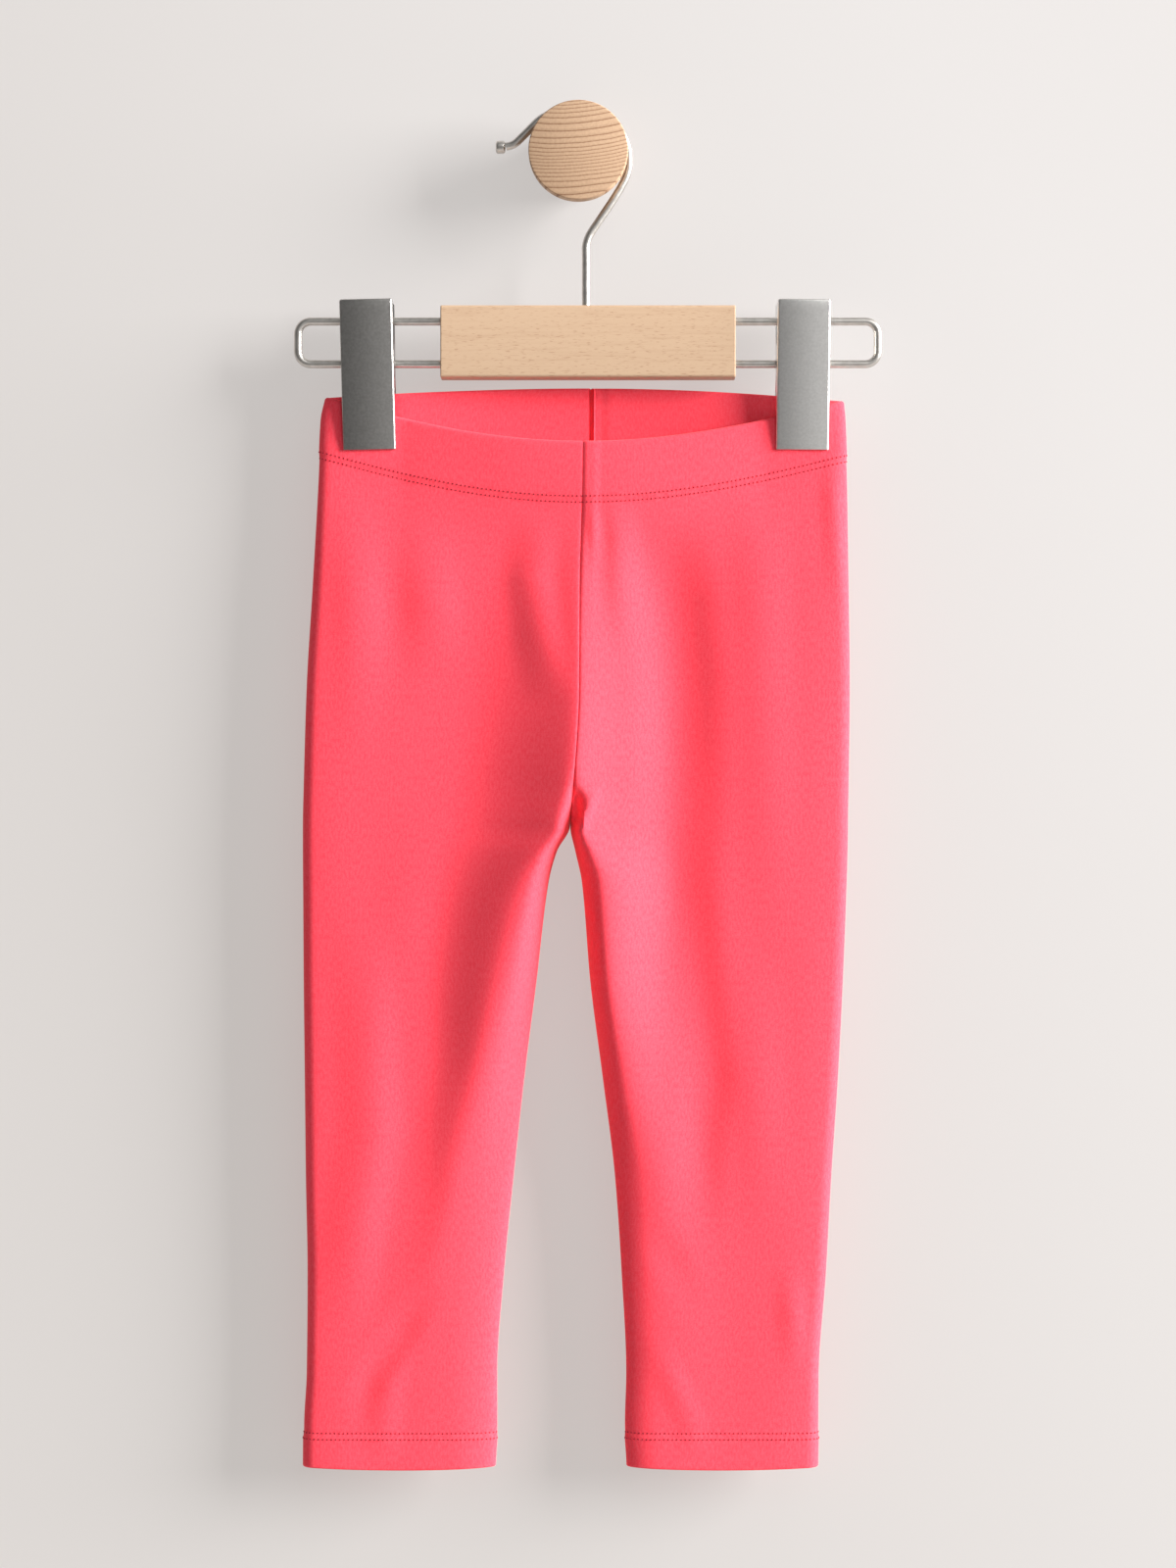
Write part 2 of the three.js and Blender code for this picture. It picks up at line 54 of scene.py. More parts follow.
# %% The camera
HANGER_X = 0.0045
HANGER_Y = -0.022
PICTURE_HEIGHT = 0.728
PICTURE_MIDDLE = -0.2927
CAMERA_AWAY = 1.8
SENSOR = 0.036

camera_data = bpy.data.cameras.new("camera")
camera_data.sensor_width = SENSOR * 1000
camera_data.lens = camera_data.sensor_width * CAMERA_AWAY / PICTURE_HEIGHT
camera = bpy.data.objects.new("camera", camera_data)
camera.location = (HANGER_X, HANGER_Y - CAMERA_AWAY, PICTURE_MIDDLE)
camera.rotation_euler = (math.radians(90), 0, 0)
bpy.context.scene.collection.objects.link(camera)
bpy.context.scene.camera = camera
bpy.context.scene.view_settings.view_transform = "Standard"
print("lens:", round(camera_data.lens, 1), "mm")

# %% [markdown]
# Every piece goes through the same last steps: the bmesh becomes an object at the origin, it gets its
# material, it rides on the one body of this model, and it takes the place of the plain solid that held
# its room. One helper does this, so that no piece can miss a step. Sharp edges are marked by their
# angle, because a wall of cloth is smooth on its faces and sharp along its rim.


# %% Helpers that finish a piece
WELD = 1e-6


def only(items, kind):
    """The points or edges among the results of a bmesh operator."""
    return [item for item in items if isinstance(item, kind)]


def finished(name, bm, material, nodes=(), sharp=50):
    """Make an object of a bmesh, with smooth faces and sharp rims, and put it in the frame."""
    mesh = bpy.data.meshes.new(name)
    bm.to_mesh(mesh)
    bm.free()
    mesh.materials.append(material)
    mesh.shade_smooth()
    mesh.set_sharp_from_angle(angle=math.radians(sharp))
    piece = bpy.data.objects.new(name, mesh)
    bpy.context.scene.collection.objects.link(piece)
    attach(piece, "root")
    if nodes:
        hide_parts(*nodes)
    print(name, len(mesh.polygons), "faces")
    return piece


def applied(piece, sharp=50):
    """Make a piece's modifiers part of its mesh."""
    graph = bpy.context.evaluated_depsgraph_get()
    made = bpy.data.meshes.new_from_object(piece.evaluated_get(graph), depsgraph=graph)
    piece.modifiers.clear()
    piece.data = made
    made.shade_smooth()
    made.set_sharp_from_angle(angle=math.radians(sharp))
    return piece


def on_material(name):
    """A new material with its node tree, its links and its main shader."""
    material = bpy.data.materials.new(name)
    material.use_nodes = True
    tree = material.node_tree
    return material, tree, tree.nodes["Principled BSDF"]


def add(tree, kind, inputs=None, **settings):
    """Add a node. inputs sets its sockets: a socket of another node is linked in, a value is set."""
    made = tree.nodes.new(kind)
    for key, value in settings.items():
        setattr(made, key, value)
    for key, value in (inputs or {}).items():
        if isinstance(value, bpy.types.NodeSocket):
            tree.links.new(value, made.inputs[key])
        else:
            made.inputs[key].default_value = value
    return made


def ramp(tree, factor, *stops):
    """A colour ramp with (position, grey or colour) stops."""
    made = add(tree, "ShaderNodeValToRGB", {"Fac": factor})
    elements = made.color_ramp.elements
    while len(elements) < len(stops):
        elements.new(1)
    for element, (position, colour) in zip(elements, stops):
        element.position = position
        element.color = (*colour, 1) if hasattr(colour, "__len__") else (colour, colour, colour, 1)
    return made.outputs["Color"]


def maths(tree, operation, a, b=None, c=None, clamp=False):
    """A Math node's value."""
    values = {i: v for i, v in enumerate((a, b, c)) if v is not None}
    return add(tree, "ShaderNodeMath", values, operation=operation, use_clamp=clamp).outputs[0]


def blended(tree, factor, a, b, kind="MIX"):
    """Two colours mixed by a factor."""
    inputs = {0: factor, 6: a, 7: b}
    return add(tree, "ShaderNodeMix", inputs, data_type="RGBA", blend_type=kind).outputs[2]


def bumped(tree, shader, height, strength, distance, invert=False):
    """Give a shader small bumps from a height."""
    inputs = {"Strength": strength, "Distance": distance, "Height": height}
    bump = add(tree, "ShaderNodeBump", inputs, invert=invert)
    tree.links.new(bump.outputs[0], shader.inputs["Normal"])


def new_group(name, inputs, outputs):
    """An empty shader node group: its tree, its input node and its output node."""
    tree = bpy.data.node_groups.new(name, "ShaderNodeTree")
    for label, kind, value in inputs:
        made = tree.interface.new_socket(label, in_out="INPUT", socket_type=kind)
        if value is not None:
            made.default_value = value
    for label, kind in outputs:
        tree.interface.new_socket(label, in_out="OUTPUT", socket_type=kind)
    return tree, tree.nodes.new("NodeGroupInput"), tree.nodes.new("NodeGroupOutput")


def placed(tree, group, inputs):
    """A group's node in a material."""
    return add(tree, "ShaderNodeGroup", inputs, node_tree=group)


# %% [markdown]
# The cloth's form comes first. Real leggings are cut as one panel for each leg, so the front and the
# back of a leg are one piece of jersey that turns at the outer edge. I describe a point of the cloth
# by two numbers: the turn, from the front seam (0) over the outer edge (0.5) to the back seam (1), and
# the drop below the highest point of the waist. Short tables give the outline and the depth of the
# hanging tube by drop. A smooth curve through each column gives the rest, so a panel can be as fine as
# I like, and the casing, hems and stitches lie on the same cloth. The tables are those of the solids.

# %% The garment's sizes
WAIST_Z = -0.108
SEAM_GAP = 0.0003
CROTCH_START, CROTCH = 0.172, 0.204
LEG_END = 0.502
CASING = 0.0285
HEM = 0.017
HEM_TOP = LEG_END - HEM
WAIST_DROP = {"front": 0.026, "back": 0.0003, -1: 0.0052, 1: 0.0068}

# drop, outer and inner edge of the left leg, inner and outer edge of the right leg
OUTLINE = [
    (0.000, -0.1209, -0.0023, -0.0023, 0.1179),
    (0.016, -0.1238, -0.0023, -0.0023, 0.1192),
    (0.044, -0.1251, -0.0026, -0.0026, 0.1202),
    (0.094, -0.1279, -0.0038, -0.0038, 0.1210),
    (0.139, -0.1306, -0.0040, -0.0040, 0.1215),
    (0.185, -0.1320, -0.0066, -0.0066, 0.1210),
    (0.204, -0.1324, -0.0083, -0.0083, 0.1207),
    (0.216, -0.1324, -0.0144, -0.0059, 0.1205),
    (0.230, -0.1323, -0.0182, -0.0029, 0.1201),
    (0.276, -0.1320, -0.0239, 0.0010, 0.1183),
    (0.321, -0.1315, -0.0296, 0.0068, 0.1160),
    (0.367, -0.1310, -0.0346, 0.0125, 0.1129),
    (0.412, -0.1302, -0.0391, 0.0156, 0.1104),
    (0.458, -0.1306, -0.0422, 0.0177, 0.1071),
    (0.481, -0.1318, -0.0421, 0.0171, 0.1069),
    (0.502, -0.1320, -0.0432, 0.0182, 0.1065),
]

# drop, half the depth of the hanging tube, height of the fold at the seat and crotch, its width on the left
# and on the right, and how far it lies from the left and the right leg's inner edge
DEPTHS = [
    (0.000, 0.0060, 0.0000, 0.033, 0.027, 0.000, 0.000),
    (0.050, 0.0056, 0.0002, 0.035, 0.029, 0.000, 0.000),
    (0.085, 0.0058, 0.0042, 0.042, 0.034, 0.000, 0.000),
    (0.140, 0.0062, 0.0100, 0.051, 0.041, 0.000, 0.000),
    (0.185, 0.0065, 0.0128, 0.055, 0.045, 0.000, 0.000),
    (0.204, 0.0066, 0.0126, 0.053, 0.044, 0.003, 0.004),
    (0.230, 0.0066, 0.0106, 0.042, 0.036, 0.009, 0.009),
    (0.276, 0.0066, 0.0082, 0.034, 0.030, 0.016, 0.009),
    (0.321, 0.0065, 0.0048, 0.026, 0.030, 0.021, 0.012),
    (0.380, 0.0064, 0.0020, 0.026, 0.028, 0.030, 0.019),
    (0.440, 0.0062, 0.0008, 0.030, 0.030, 0.034, 0.020),
    (0.502, 0.0060, 0.0003, 0.032, 0.032, 0.030, 0.020),
]
OUTER_TURN, INNER_TURN = 0.005, 0.0045
OUTER_WIDE, OUTER_SHARE = 0.022, 0.3
FOLD_TURN = 0.5
LEG_SOFT_FROM = 0.245
WAIST_OPEN, WAIST_PINCH, PINCH_REACH = 0.0085, 0.0036, 0.084
WAIST_FREE = (0.034, 0.088)
CREST_SOFT, LEG_SOFT = 0.07, 0.26


# %% Curves through the tables
def curve_through(table, column):
    """A smooth curve through one column, as a function of the drop."""
    drops = np.array([row[0] for row in table])
    values = np.array([row[column] for row in table])
    rises = np.diff(values) / np.diff(drops)
    slopes = np.zeros(len(table))
    for i in range(1, len(table) - 1):
        before, after = rises[i - 1], rises[i]
        if before * after > 0 and drops[i] != CROTCH:
            slopes[i] = 2 * before * after / (before + after)

    def at(drop):
        drop = np.clip(drop, drops[0], drops[-1])
        i = np.clip(np.searchsorted(drops, drop, side="right") - 1, 0, len(drops) - 2)
        span = drops[i + 1] - drops[i]
        t = (drop - drops[i]) / span
        bend = (1 - t) ** 2 * t * slopes[i] - t**2 * (1 - t) * slopes[i + 1]
        return values[i] + (values[i + 1] - values[i]) * t * t * (3 - 2 * t) + span * bend

    return at


OUTER = {-1: curve_through(OUTLINE, 1), 1: curve_through(OUTLINE, 4)}
INNER = {-1: curve_through(OUTLINE, 2), 1: curve_through(OUTLINE, 3)}
HALF_DEPTH, FOLD = (curve_through(DEPTHS, column) for column in (1, 2))
FOLD_WIDTH = {-1: curve_through(DEPTHS, 3), 1: curve_through(DEPTHS, 4)}
FOLD_IN = {-1: curve_through(DEPTHS, 5), 1: curve_through(DEPTHS, 6)}


def mix(a, b, share):
    """From a to b by a share."""
    return a + (b - a) * share


def ease(value, start, end):
    """0 before start, 1 after end, and smooth between them."""
    t = np.clip((value - start) / (end - start), 0, 1)
    return t * t * (3 - 2 * t)


def tent(away, crest):
    """The fold's section: a crest of some softness at 0, straight flanks, and a foot that runs out at 1."""
    t = np.clip(away, 0, 1)
    soft = (np.sqrt(t * t + crest**2) - crest) / (np.hypot(1, crest) - crest)
    return 1 - np.sin(np.pi / 2 * soft)


def round_off(distance, turn):
    """0 at an edge, 1 a turn's length inside it, round as a quarter of an ellipse."""
    t = np.clip(distance / turn, 0, 1)
    return np.sqrt(1 - (1 - t) ** 2)


print("half width at the hip:", round(float(OUTER[1](0.15) - INNER[1](0.15)), 4), "m")

# %% [markdown]
# Jersey hangs in soft, wide folds, and each one is uneven. A cloth simulation could find such folds,
# but not these: they come from how the garment was pulled over the clips, and they are the first thing
# one compares. So I place them one by one. A crease is a line of points on the cloth, each with its
# height out of the surface (below zero for a trough), and a width to either side of the line.
# The back gets creases of the same kind. x is measured from the hanger's middle.

# %% Creases placed one by one
# name: face (1 is the front), width on the left, width on the right, points of (x, drop, height)
CREASES = {
    "left fold of the seat": (1, 0.016, 0.013, [
        (-0.0225, 0.058, 0.0), (-0.0255, 0.090, 0.0018), (-0.0215, 0.117, 0.0015), (-0.0150, 0.148, 0.0)]),
    "valley right of the ridge": (1, 0.024, 0.025, [
        (0.0320, 0.064, 0.0), (0.0350, 0.080, -0.0018), (0.0390, 0.103, -0.0038), (0.0420, 0.139, -0.0041),
        (0.0420, 0.166, -0.0038), (0.0415, 0.194, -0.0031), (0.0385, 0.230, -0.0025),
        (0.0420, 0.276, -0.0012), (0.0470, 0.310, 0.0)]),
    "streak beside the seam": (1, 0.005, 0.006, [
        (0.0018, 0.047, 0.0), (0.0030, 0.066, 0.0009), (0.0055, 0.090, 0.0)]),
    "streak right of it": (1, 0.008, 0.014, [
        (0.0091, 0.048, 0.0), (0.0137, 0.071, 0.0014), (0.0145, 0.094, 0.0010), (0.0160, 0.124, 0.0)]),
    "under the band, left": (1, 0.018, 0.015, [
        (-0.0728, 0.064, 0.0), (-0.0700, 0.103, 0.0010), (-0.0680, 0.136, 0.0)]),
    "hip valley, left": (1, 0.012, 0.014, [
        (-0.0910, 0.056, 0.0), (-0.0900, 0.100, -0.0009), (-0.0880, 0.155, 0.0)]),
    "hip, left": (1, 0.014, 0.014, [
        (-0.1090, 0.045, 0.0), (-0.1080, 0.100, 0.0008), (-0.1060, 0.190, 0.0)]),
    "hip, right": (1, 0.018, 0.018, [
        (0.0790, 0.045, 0.0), (0.0800, 0.100, 0.0010), (0.0830, 0.190, 0.0007), (0.0880, 0.270, 0.0)]),
    "right edge": (1, 0.008, 0.005, [
        (0.1130, 0.030, 0.0), (0.1140, 0.052, 0.0010), (0.1150, 0.076, 0.0007), (0.1160, 0.100, 0.0)]),
    "left outer edge": (1, 0.021, 0.016, [
        (-0.1038, 0.235, 0.0), (-0.1000, 0.294, 0.0014), (-0.0985, 0.344, 0.0018), (-0.1060, 0.390, 0.0015),
        (-0.1128, 0.440, 0.0)]),
    "left thigh": (1, 0.020, 0.016, [
        (-0.0760, 0.190, 0.0), (-0.0850, 0.250, 0.0007), (-0.0900, 0.320, 0.0)]),
    "left shin valley": (1, 0.016, 0.014, [
        (-0.0700, 0.330, 0.0), (-0.0740, 0.375, -0.0006), (-0.0860, 0.420, 0.0)]),
    "left ankle": (1, 0.012, 0.009, [
        (-0.0700, 0.415, 0.0), (-0.0840, 0.436, -0.0008), (-0.1000, 0.462, -0.0008), (-0.1080, 0.480, 0.0)]),
    "left ankle fold": (1, 0.012, 0.010, [
        (-0.0840, 0.440, 0.0), (-0.0920, 0.462, 0.0008), (-0.0940, 0.482, 0.0007), (-0.0950, 0.500, 0.0)]),
    "right thigh valley": (1, 0.018, 0.013, [
        (0.0460, 0.205, 0.0), (0.0490, 0.240, -0.0006), (0.0523, 0.276, -0.0010), (0.0565, 0.321, -0.0016),
        (0.0530, 0.358, -0.0011), (0.0520, 0.400, 0.0)]),
    "right calf": (1, 0.016, 0.018, [
        (0.0760, 0.260, 0.0), (0.0780, 0.325, 0.0010), (0.0820, 0.400, 0.0)]),
    "right ankle": (1, 0.012, 0.011, [
        (0.0290, 0.385, 0.0), (0.0380, 0.405, -0.0006), (0.0500, 0.430, 0.0)]),
    "right ankle fold": (1, 0.010, 0.009, [
        (0.0300, 0.440, 0.0), (0.0400, 0.462, 0.0007), (0.0480, 0.480, 0.0006), (0.0500, 0.498, 0.0)]),
    "right outer ankle": (1, 0.010, 0.008, [
        (0.0930, 0.405, 0.0), (0.0950, 0.430, 0.0010), (0.0960, 0.460, 0.0)]),
    "crotch pocket": (1, 0.0032, 0.0048, [
        (-0.0060, 0.186, 0.0), (-0.0052, 0.192, -0.0050), (-0.0058, 0.200, -0.0060), (-0.0070, 0.205, 0.0)]),
    "crotch rim": (1, 0.0030, 0.0040, [
        (0.0040, 0.185, 0.0), (0.0020, 0.192, 0.0012), (-0.0030, 0.204, 0.0014), (-0.0040, 0.214, 0.0)]),
    "back, seat left": (-1, 0.020, 0.018, [
        (-0.0400, 0.070, 0.0), (-0.0450, 0.130, -0.0024), (-0.0480, 0.190, -0.0020), (-0.0540, 0.250, 0.0)]),
    "back, seat right": (-1, 0.016, 0.022, [
        (0.0340, 0.080, 0.0), (0.0380, 0.135, -0.0020), (0.0450, 0.200, -0.0024), (0.0540, 0.280, 0.0)]),
    "back, under the seat left": (-1, 0.009, 0.013, [
        (-0.0200, 0.196, 0.0), (-0.0440, 0.212, -0.0018), (-0.0740, 0.220, 0.0)]),
    "back, under the seat right": (-1, 0.013, 0.009, [
        (0.0060, 0.200, 0.0), (0.0340, 0.218, -0.0015), (0.0600, 0.224, 0.0)]),
    "back, left hip": (-1, 0.016, 0.014, [
        (-0.0880, 0.040, 0.0), (-0.0920, 0.110, 0.0013), (-0.0860, 0.200, 0.0)]),
    "back, right hip": (-1, 0.016, 0.014, [
        (0.0800, 0.040, 0.0), (0.0880, 0.120, 0.0011), (0.0840, 0.230, 0.0)]),
    "back, left calf": (-1, 0.018, 0.016, [
        (-0.0800, 0.280, 0.0), (-0.0900, 0.350, 0.0015), (-0.0860, 0.430, 0.0)]),
    "back, right calf": (-1, 0.016, 0.019, [
        (0.0500, 0.270, 0.0), (0.0660, 0.350, 0.0015), (0.0700, 0.440, 0.0)]),
    "back, left ankle": (-1, 0.010, 0.011, [
        (-0.0600, 0.430, 0.0), (-0.0760, 0.452, -0.0012), (-0.0940, 0.468, 0.0)]),
    "back, right ankle": (-1, 0.011, 0.010, [
        (0.0400, 0.428, 0.0), (0.0600, 0.446, -0.0011), (0.0780, 0.470, 0.0)]),
}
WANDER = 0.00035
WANDER_ACROSS, WANDER_APART, WANDER_DOWN = 28, 7, 11


def crease_height(x, drop, line, wide_left, wide_right):
    """Height of one crease at points of the cloth: a bell across its line, fading along it."""
    nearest = np.full(x.shape, 1e9)
    height = np.zeros(x.shape)
    for (x0, d0, h0), (x1, d1, h1) in zip(line, line[1:]):
        ax, ad = x1 - x0, d1 - d0
        t = np.clip(((x - x0) * ax + (drop - d0) * ad) / (ax * ax + ad * ad), 0, 1)
        dx, dd = x - x0 - t * ax, drop - d0 - t * ad
        away = np.hypot(dx, dd)
        on_right = dx * ad - dd * ax > 0
        reach = np.clip(away / np.where(on_right, wide_right, wide_left), 0, 1)
        bell = (1 + np.cos(np.pi * reach)) / 2 * mix(h0, h1, t)
        height = np.where(away < nearest, bell, height)
        nearest = np.minimum(away, nearest)
    return height


def relief(x, drop, front):
    """Creases and a faint wandering of the cloth, as a height out of its rest surface."""
    total = np.zeros(x.shape)
    for face, wide_left, wide_right, line in CREASES.values():
        here = front if face > 0 else ~front
        total += np.where(here, crease_height(x, drop, line, wide_left, wide_right), 0)
    wander = [noise.noise(Vector((a * WANDER_ACROSS, b * WANDER_APART, c * WANDER_DOWN)))
              for a, b, c in zip(x.flat, front.flat, drop.flat)]
    return total + WANDER * np.array(wander).reshape(x.shape)


# %% [markdown]
# Now the cloth itself. Where the two panels meet, each one turns in to the seam, which leaves a narrow
# groove. Behind the groove, on the right-hand side, the two seam allowances lie under the cloth and
# lift it by a third of a millimetre. At the back the seam stands a little further to the right.

# %% A point of the cloth
SEAM_DEEP, SEAM_ROUND = 0.0005, 0.0010
ALLOWANCE_HIGH, ALLOWANCE_WIDE, ALLOWANCE_FADE = 0.0004, 0.0078, (0.070, 0.125)
ALLOWANCE_IN, ALLOWANCE_EASE = 0.0004, 0.0012
BACK_SEAM_SHIFT, BACK_SEAM_FADE = 0.0036, (0.03, 0.12)
BESIDE = 0.0005


def waist_edge(side, turn):
    """The drop of the waist's edge, which dips at the front."""
    front = turn <= 0.5
    from_seam = np.where(front, turn, 1 - turn) * 2
    share = (1 - np.cos(np.pi * from_seam)) / 2
    centre = np.where(front, WAIST_DROP["front"], WAIST_DROP["back"])
    return mix(WAIST_DROP[side], centre, np.cos(share * np.pi / 2))


def cloth(side, turn, drop):
    """Points of the cloth's outer face, as an array of x, y, z. side is -1 on the left, 1 on the right."""
    front = turn <= 0.5
    from_seam = np.where(front, turn, 1 - turn) * 2
    seam_x = INNER[side](drop) + np.where(front, 0, BACK_SEAM_SHIFT) * (1 - ease(drop, *BACK_SEAM_FADE))
    inner = seam_x + side * SEAM_GAP / 10
    width = np.abs(OUTER[side](drop) - inner)
    distance = width * (1 - np.cos(np.pi * from_seam)) / 2
    x = inner + side * distance
    across = np.clip((x - OUTLINE[0][2]) / PINCH_REACH, -1, 1)
    pinched = mix(WAIST_PINCH, WAIST_OPEN, np.cos(across * np.pi / 2))
    rest = mix(pinched, HALF_DEPTH(drop), ease(drop, *WAIST_FREE))
    fold_in = FOLD_IN[side](drop)
    away = np.abs(distance - fold_in) / FOLD_WIDTH[side](drop)
    crest = mix(CREST_SOFT, LEG_SOFT, ease(drop, CROTCH, LEG_SOFT_FROM))
    rest = rest + FOLD(drop) * tent(away, crest) + relief(x, drop, front)
    from_outer = width - distance
    full = rest * mix(round_off(from_outer, OUTER_TURN), round_off(from_outer, OUTER_WIDE), OUTER_SHARE)
    closing = np.clip((drop - CROTCH_START) / (CROTCH - CROTCH_START), 0, 1)
    seam = full * np.sqrt(1 - closing**2)
    depth = mix(seam, full, round_off(distance, INNER_TURN + FOLD_TURN * fold_in))
    open_seam = 1 - closing**4
    depth -= SEAM_DEEP * open_seam * (1 - round_off(distance, SEAM_ROUND))
    if side > 0:
        strip = ease(distance, ALLOWANCE_IN, ALLOWANCE_IN + ALLOWANCE_EASE)
        strip *= 1 - ease(distance, ALLOWANCE_WIDE - ALLOWANCE_EASE, ALLOWANCE_WIDE)
        depth += ALLOWANCE_HIGH * strip * (1 - ease(drop, *ALLOWANCE_FADE))
    y = HANGER_Y + np.where(front, -depth, depth)
    return np.stack([HANGER_X + x, y, WAIST_Z - drop], axis=-1)


def outward(points, side, closed):
    """Outward directions on a grid of points, which closes on itself along its columns or not."""
    padded = np.concatenate([points[:, -2:-1], points, points[:, 1:2]], axis=1) if closed else points
    across = np.gradient(padded, axis=1)
    if closed:
        across = across[:, 1:-1]
    down = np.gradient(points, axis=0)
    direction = np.cross(down, across) * side
    return direction / np.linalg.norm(direction, axis=-1, keepdims=True)


def laid(side, turn, drops, closed):
    """A row of points on the cloth, at some turns and drops, and their outward directions."""
    drops = np.broadcast_to(drops, turn.shape)
    around = np.stack([drops - BESIDE, drops, drops + BESIDE])
    points = cloth(side, np.broadcast_to(turn, around.shape), around)
    return points[1], outward(points, side, closed)[1]


# %% [markdown]
# A sheet of cloth starts as a flat grid from bmesh, and each of its points is then moved to its place
# on the cloth. Before that the grid's own rows and columns give it a UV map in metres of cloth, so
# that the knit follows the surface round the edges. Across the leg it is measured from the outer
# edge. Where the two ends of a row land on one another, as on a leg below the crotch, they are merged.


# %% Helpers that make cloth
def cloth_sheet(points):
    """A bmesh of a grid of points, with a UV map in metres along and down the cloth."""
    rows, columns = points.shape[:2]
    bm = bmesh.new()
    bmesh.ops.create_grid(bm, x_segments=columns - 1, y_segments=rows - 1, size=0.5)
    along = np.zeros((rows, columns))
    along[:, 1:] = np.cumsum(np.linalg.norm(np.diff(points, axis=1), axis=-1), axis=1)
    along -= along[:, columns // 2][:, None]
    down = np.zeros((rows, columns))
    down[1:] = np.cumsum(np.linalg.norm(np.diff(points, axis=0), axis=-1), axis=0)
    down[:] = down.mean(axis=1, keepdims=True)
    place = {}
    for vert in bm.verts:
        column = round((vert.co.x + 0.5) * (columns - 1))
        row = round((0.5 - vert.co.y) * (rows - 1))
        place[vert] = (along[row, column], down[row, column])
        vert.co = points[row, column]
    layer = bm.loops.layers.uv.new("cloth")
    for face in bm.faces:
        for loop in face.loops:
            loop[layer].uv = place[loop.vert]
    return bm


def walled(piece, thickness):
    """Give a sheet its thickness, inwards from its outer face."""
    wall = piece.modifiers.new("wall", "SOLIDIFY")
    wall.thickness = thickness
    wall.offset = -1
    wall.use_even_offset = False
    return applied(piece)


# %% [markdown]
# Jersey is knitted: on its right side fine columns of stitches run down the leg, about sixteen to the
# centimetre. From a step away one sees only a soft vertical grain and a speckle of lighter and darker
# loops, and a bright fuzz where the cloth turns away from the eye. So the colour varies a little with
# the knit, a small bump carries the columns, and the shader's sheen gives the fuzz.
# The pattern reads the UV map, which is in metres of cloth.

# %% Materials of the cloth
WALES, COURSES = 10000, 12500
JERSEY_RED = (0.97, 0.080, 0.116)
JERSEY_DEEP = (0.95, 0.052, 0.083)
# The thread's dark red is partly its own colour and partly painted shade of the needle holes.
THREAD_RED_WITH_HOLE_SHADE = (0.46, 0.008, 0.030)

knit, knit_in, knit_out = new_group(
    "knit",
    [("Vector", "NodeSocketVector", None), ("Wales", "NodeSocketFloat", WALES),
     ("Courses", "NodeSocketFloat", COURSES)],
    [("Speckle", "NodeSocketFloat"), ("Height", "NodeSocketFloat")],
)
parts = add(knit, "ShaderNodeSeparateXYZ", {0: knit_in.outputs["Vector"]})
wale = maths(knit, "SINE", maths(knit, "MULTIPLY", parts.outputs[0], knit_in.outputs["Wales"]))
course = maths(knit, "SINE", maths(knit, "MULTIPLY", parts.outputs[1], knit_in.outputs["Courses"]))
loops = maths(knit, "MULTIPLY_ADD", wale, 0.10, maths(knit, "MULTIPLY", course, 0.05))
grain_at = add(knit, "ShaderNodeMapping", {0: knit_in.outputs["Vector"], "Scale": (1.0, 0.4, 1.0)})
grain = add(knit, "ShaderNodeTexNoise", {0: grain_at.outputs[0], "Scale": 1000.0, "Detail": 3.0})
fleck = add(knit, "ShaderNodeTexNoise", {0: knit_in.outputs["Vector"], "Scale": 1600.0, "Detail": 2.0})
speckle = maths(knit, "MULTIPLY_ADD", grain.outputs[0], 0.6, maths(knit, "MULTIPLY", fleck.outputs[0], 0.4))
height = maths(knit, "MULTIPLY_ADD", speckle, 1.6, loops)
knit.links.new(speckle, knit_out.inputs["Speckle"])
knit.links.new(height, knit_out.inputs["Height"])


def jersey_material(name, light, deep):
    """Brushed jersey that varies between two tones with its knit."""
    material, tree, shader = on_material(name)
    cloth_uv = add(tree, "ShaderNodeUVMap", uv_map="cloth").outputs[0]
    made = placed(tree, knit, {"Vector": cloth_uv, "Wales": WALES, "Courses": COURSES})
    tone = ramp(tree, made.outputs["Speckle"], (0.40, 0.0), (0.60, 1.0))
    tree.links.new(blended(tree, tone, (*deep, 1), (*light, 1)), shader.inputs["Base Color"])
    rough = maths(tree, "MULTIPLY_ADD", made.outputs["Speckle"], -0.15, 0.98)
    tree.links.new(rough, shader.inputs["Roughness"])
    bumped(tree, shader, made.outputs["Height"], 0.4, 0.0001)
    shader.inputs["Sheen Weight"].default_value = 0.17
    shader.inputs["Sheen Roughness"].default_value = 0.45
    shader.inputs["Sheen Tint"].default_value = (1.0, 0.60, 0.50, 1)
    shader.inputs["Specular IOR Level"].default_value = 0.2
    return material


jersey = jersey_material("brushed jersey", JERSEY_RED, JERSEY_DEEP)
thread, thread_tree, thread_shader = on_material("sewing thread with painted hole shade")
thread_at = add(thread_tree, "ShaderNodeTexCoord").outputs["Object"]
thread_ply = add(thread_tree, "ShaderNodeTexNoise", {0: thread_at, "Scale": 2500.0, "Detail": 1.0})
# Painted shade: the thread's two dark tones also stand for the shade in the needle holes.
thread_and_hole_shade_tone = ramp(thread_tree, thread_ply.outputs[0], (0.3, (0.36, 0.005, 0.018)), (0.7, THREAD_RED_WITH_HOLE_SHADE))
thread_tree.links.new(thread_and_hole_shade_tone, thread_shader.inputs["Base Color"])
thread_shader.inputs["Roughness"].default_value = 0.7
print("knit:", WALES, "x", COURSES)

# %% [markdown]
# The leg panel runs from the casing's lower edge to the hem. Its rows follow the dip of the waist at
# the top and straighten out on the way down. The columns crowd at the seam and at the outer edge,
# where the cloth bends most.

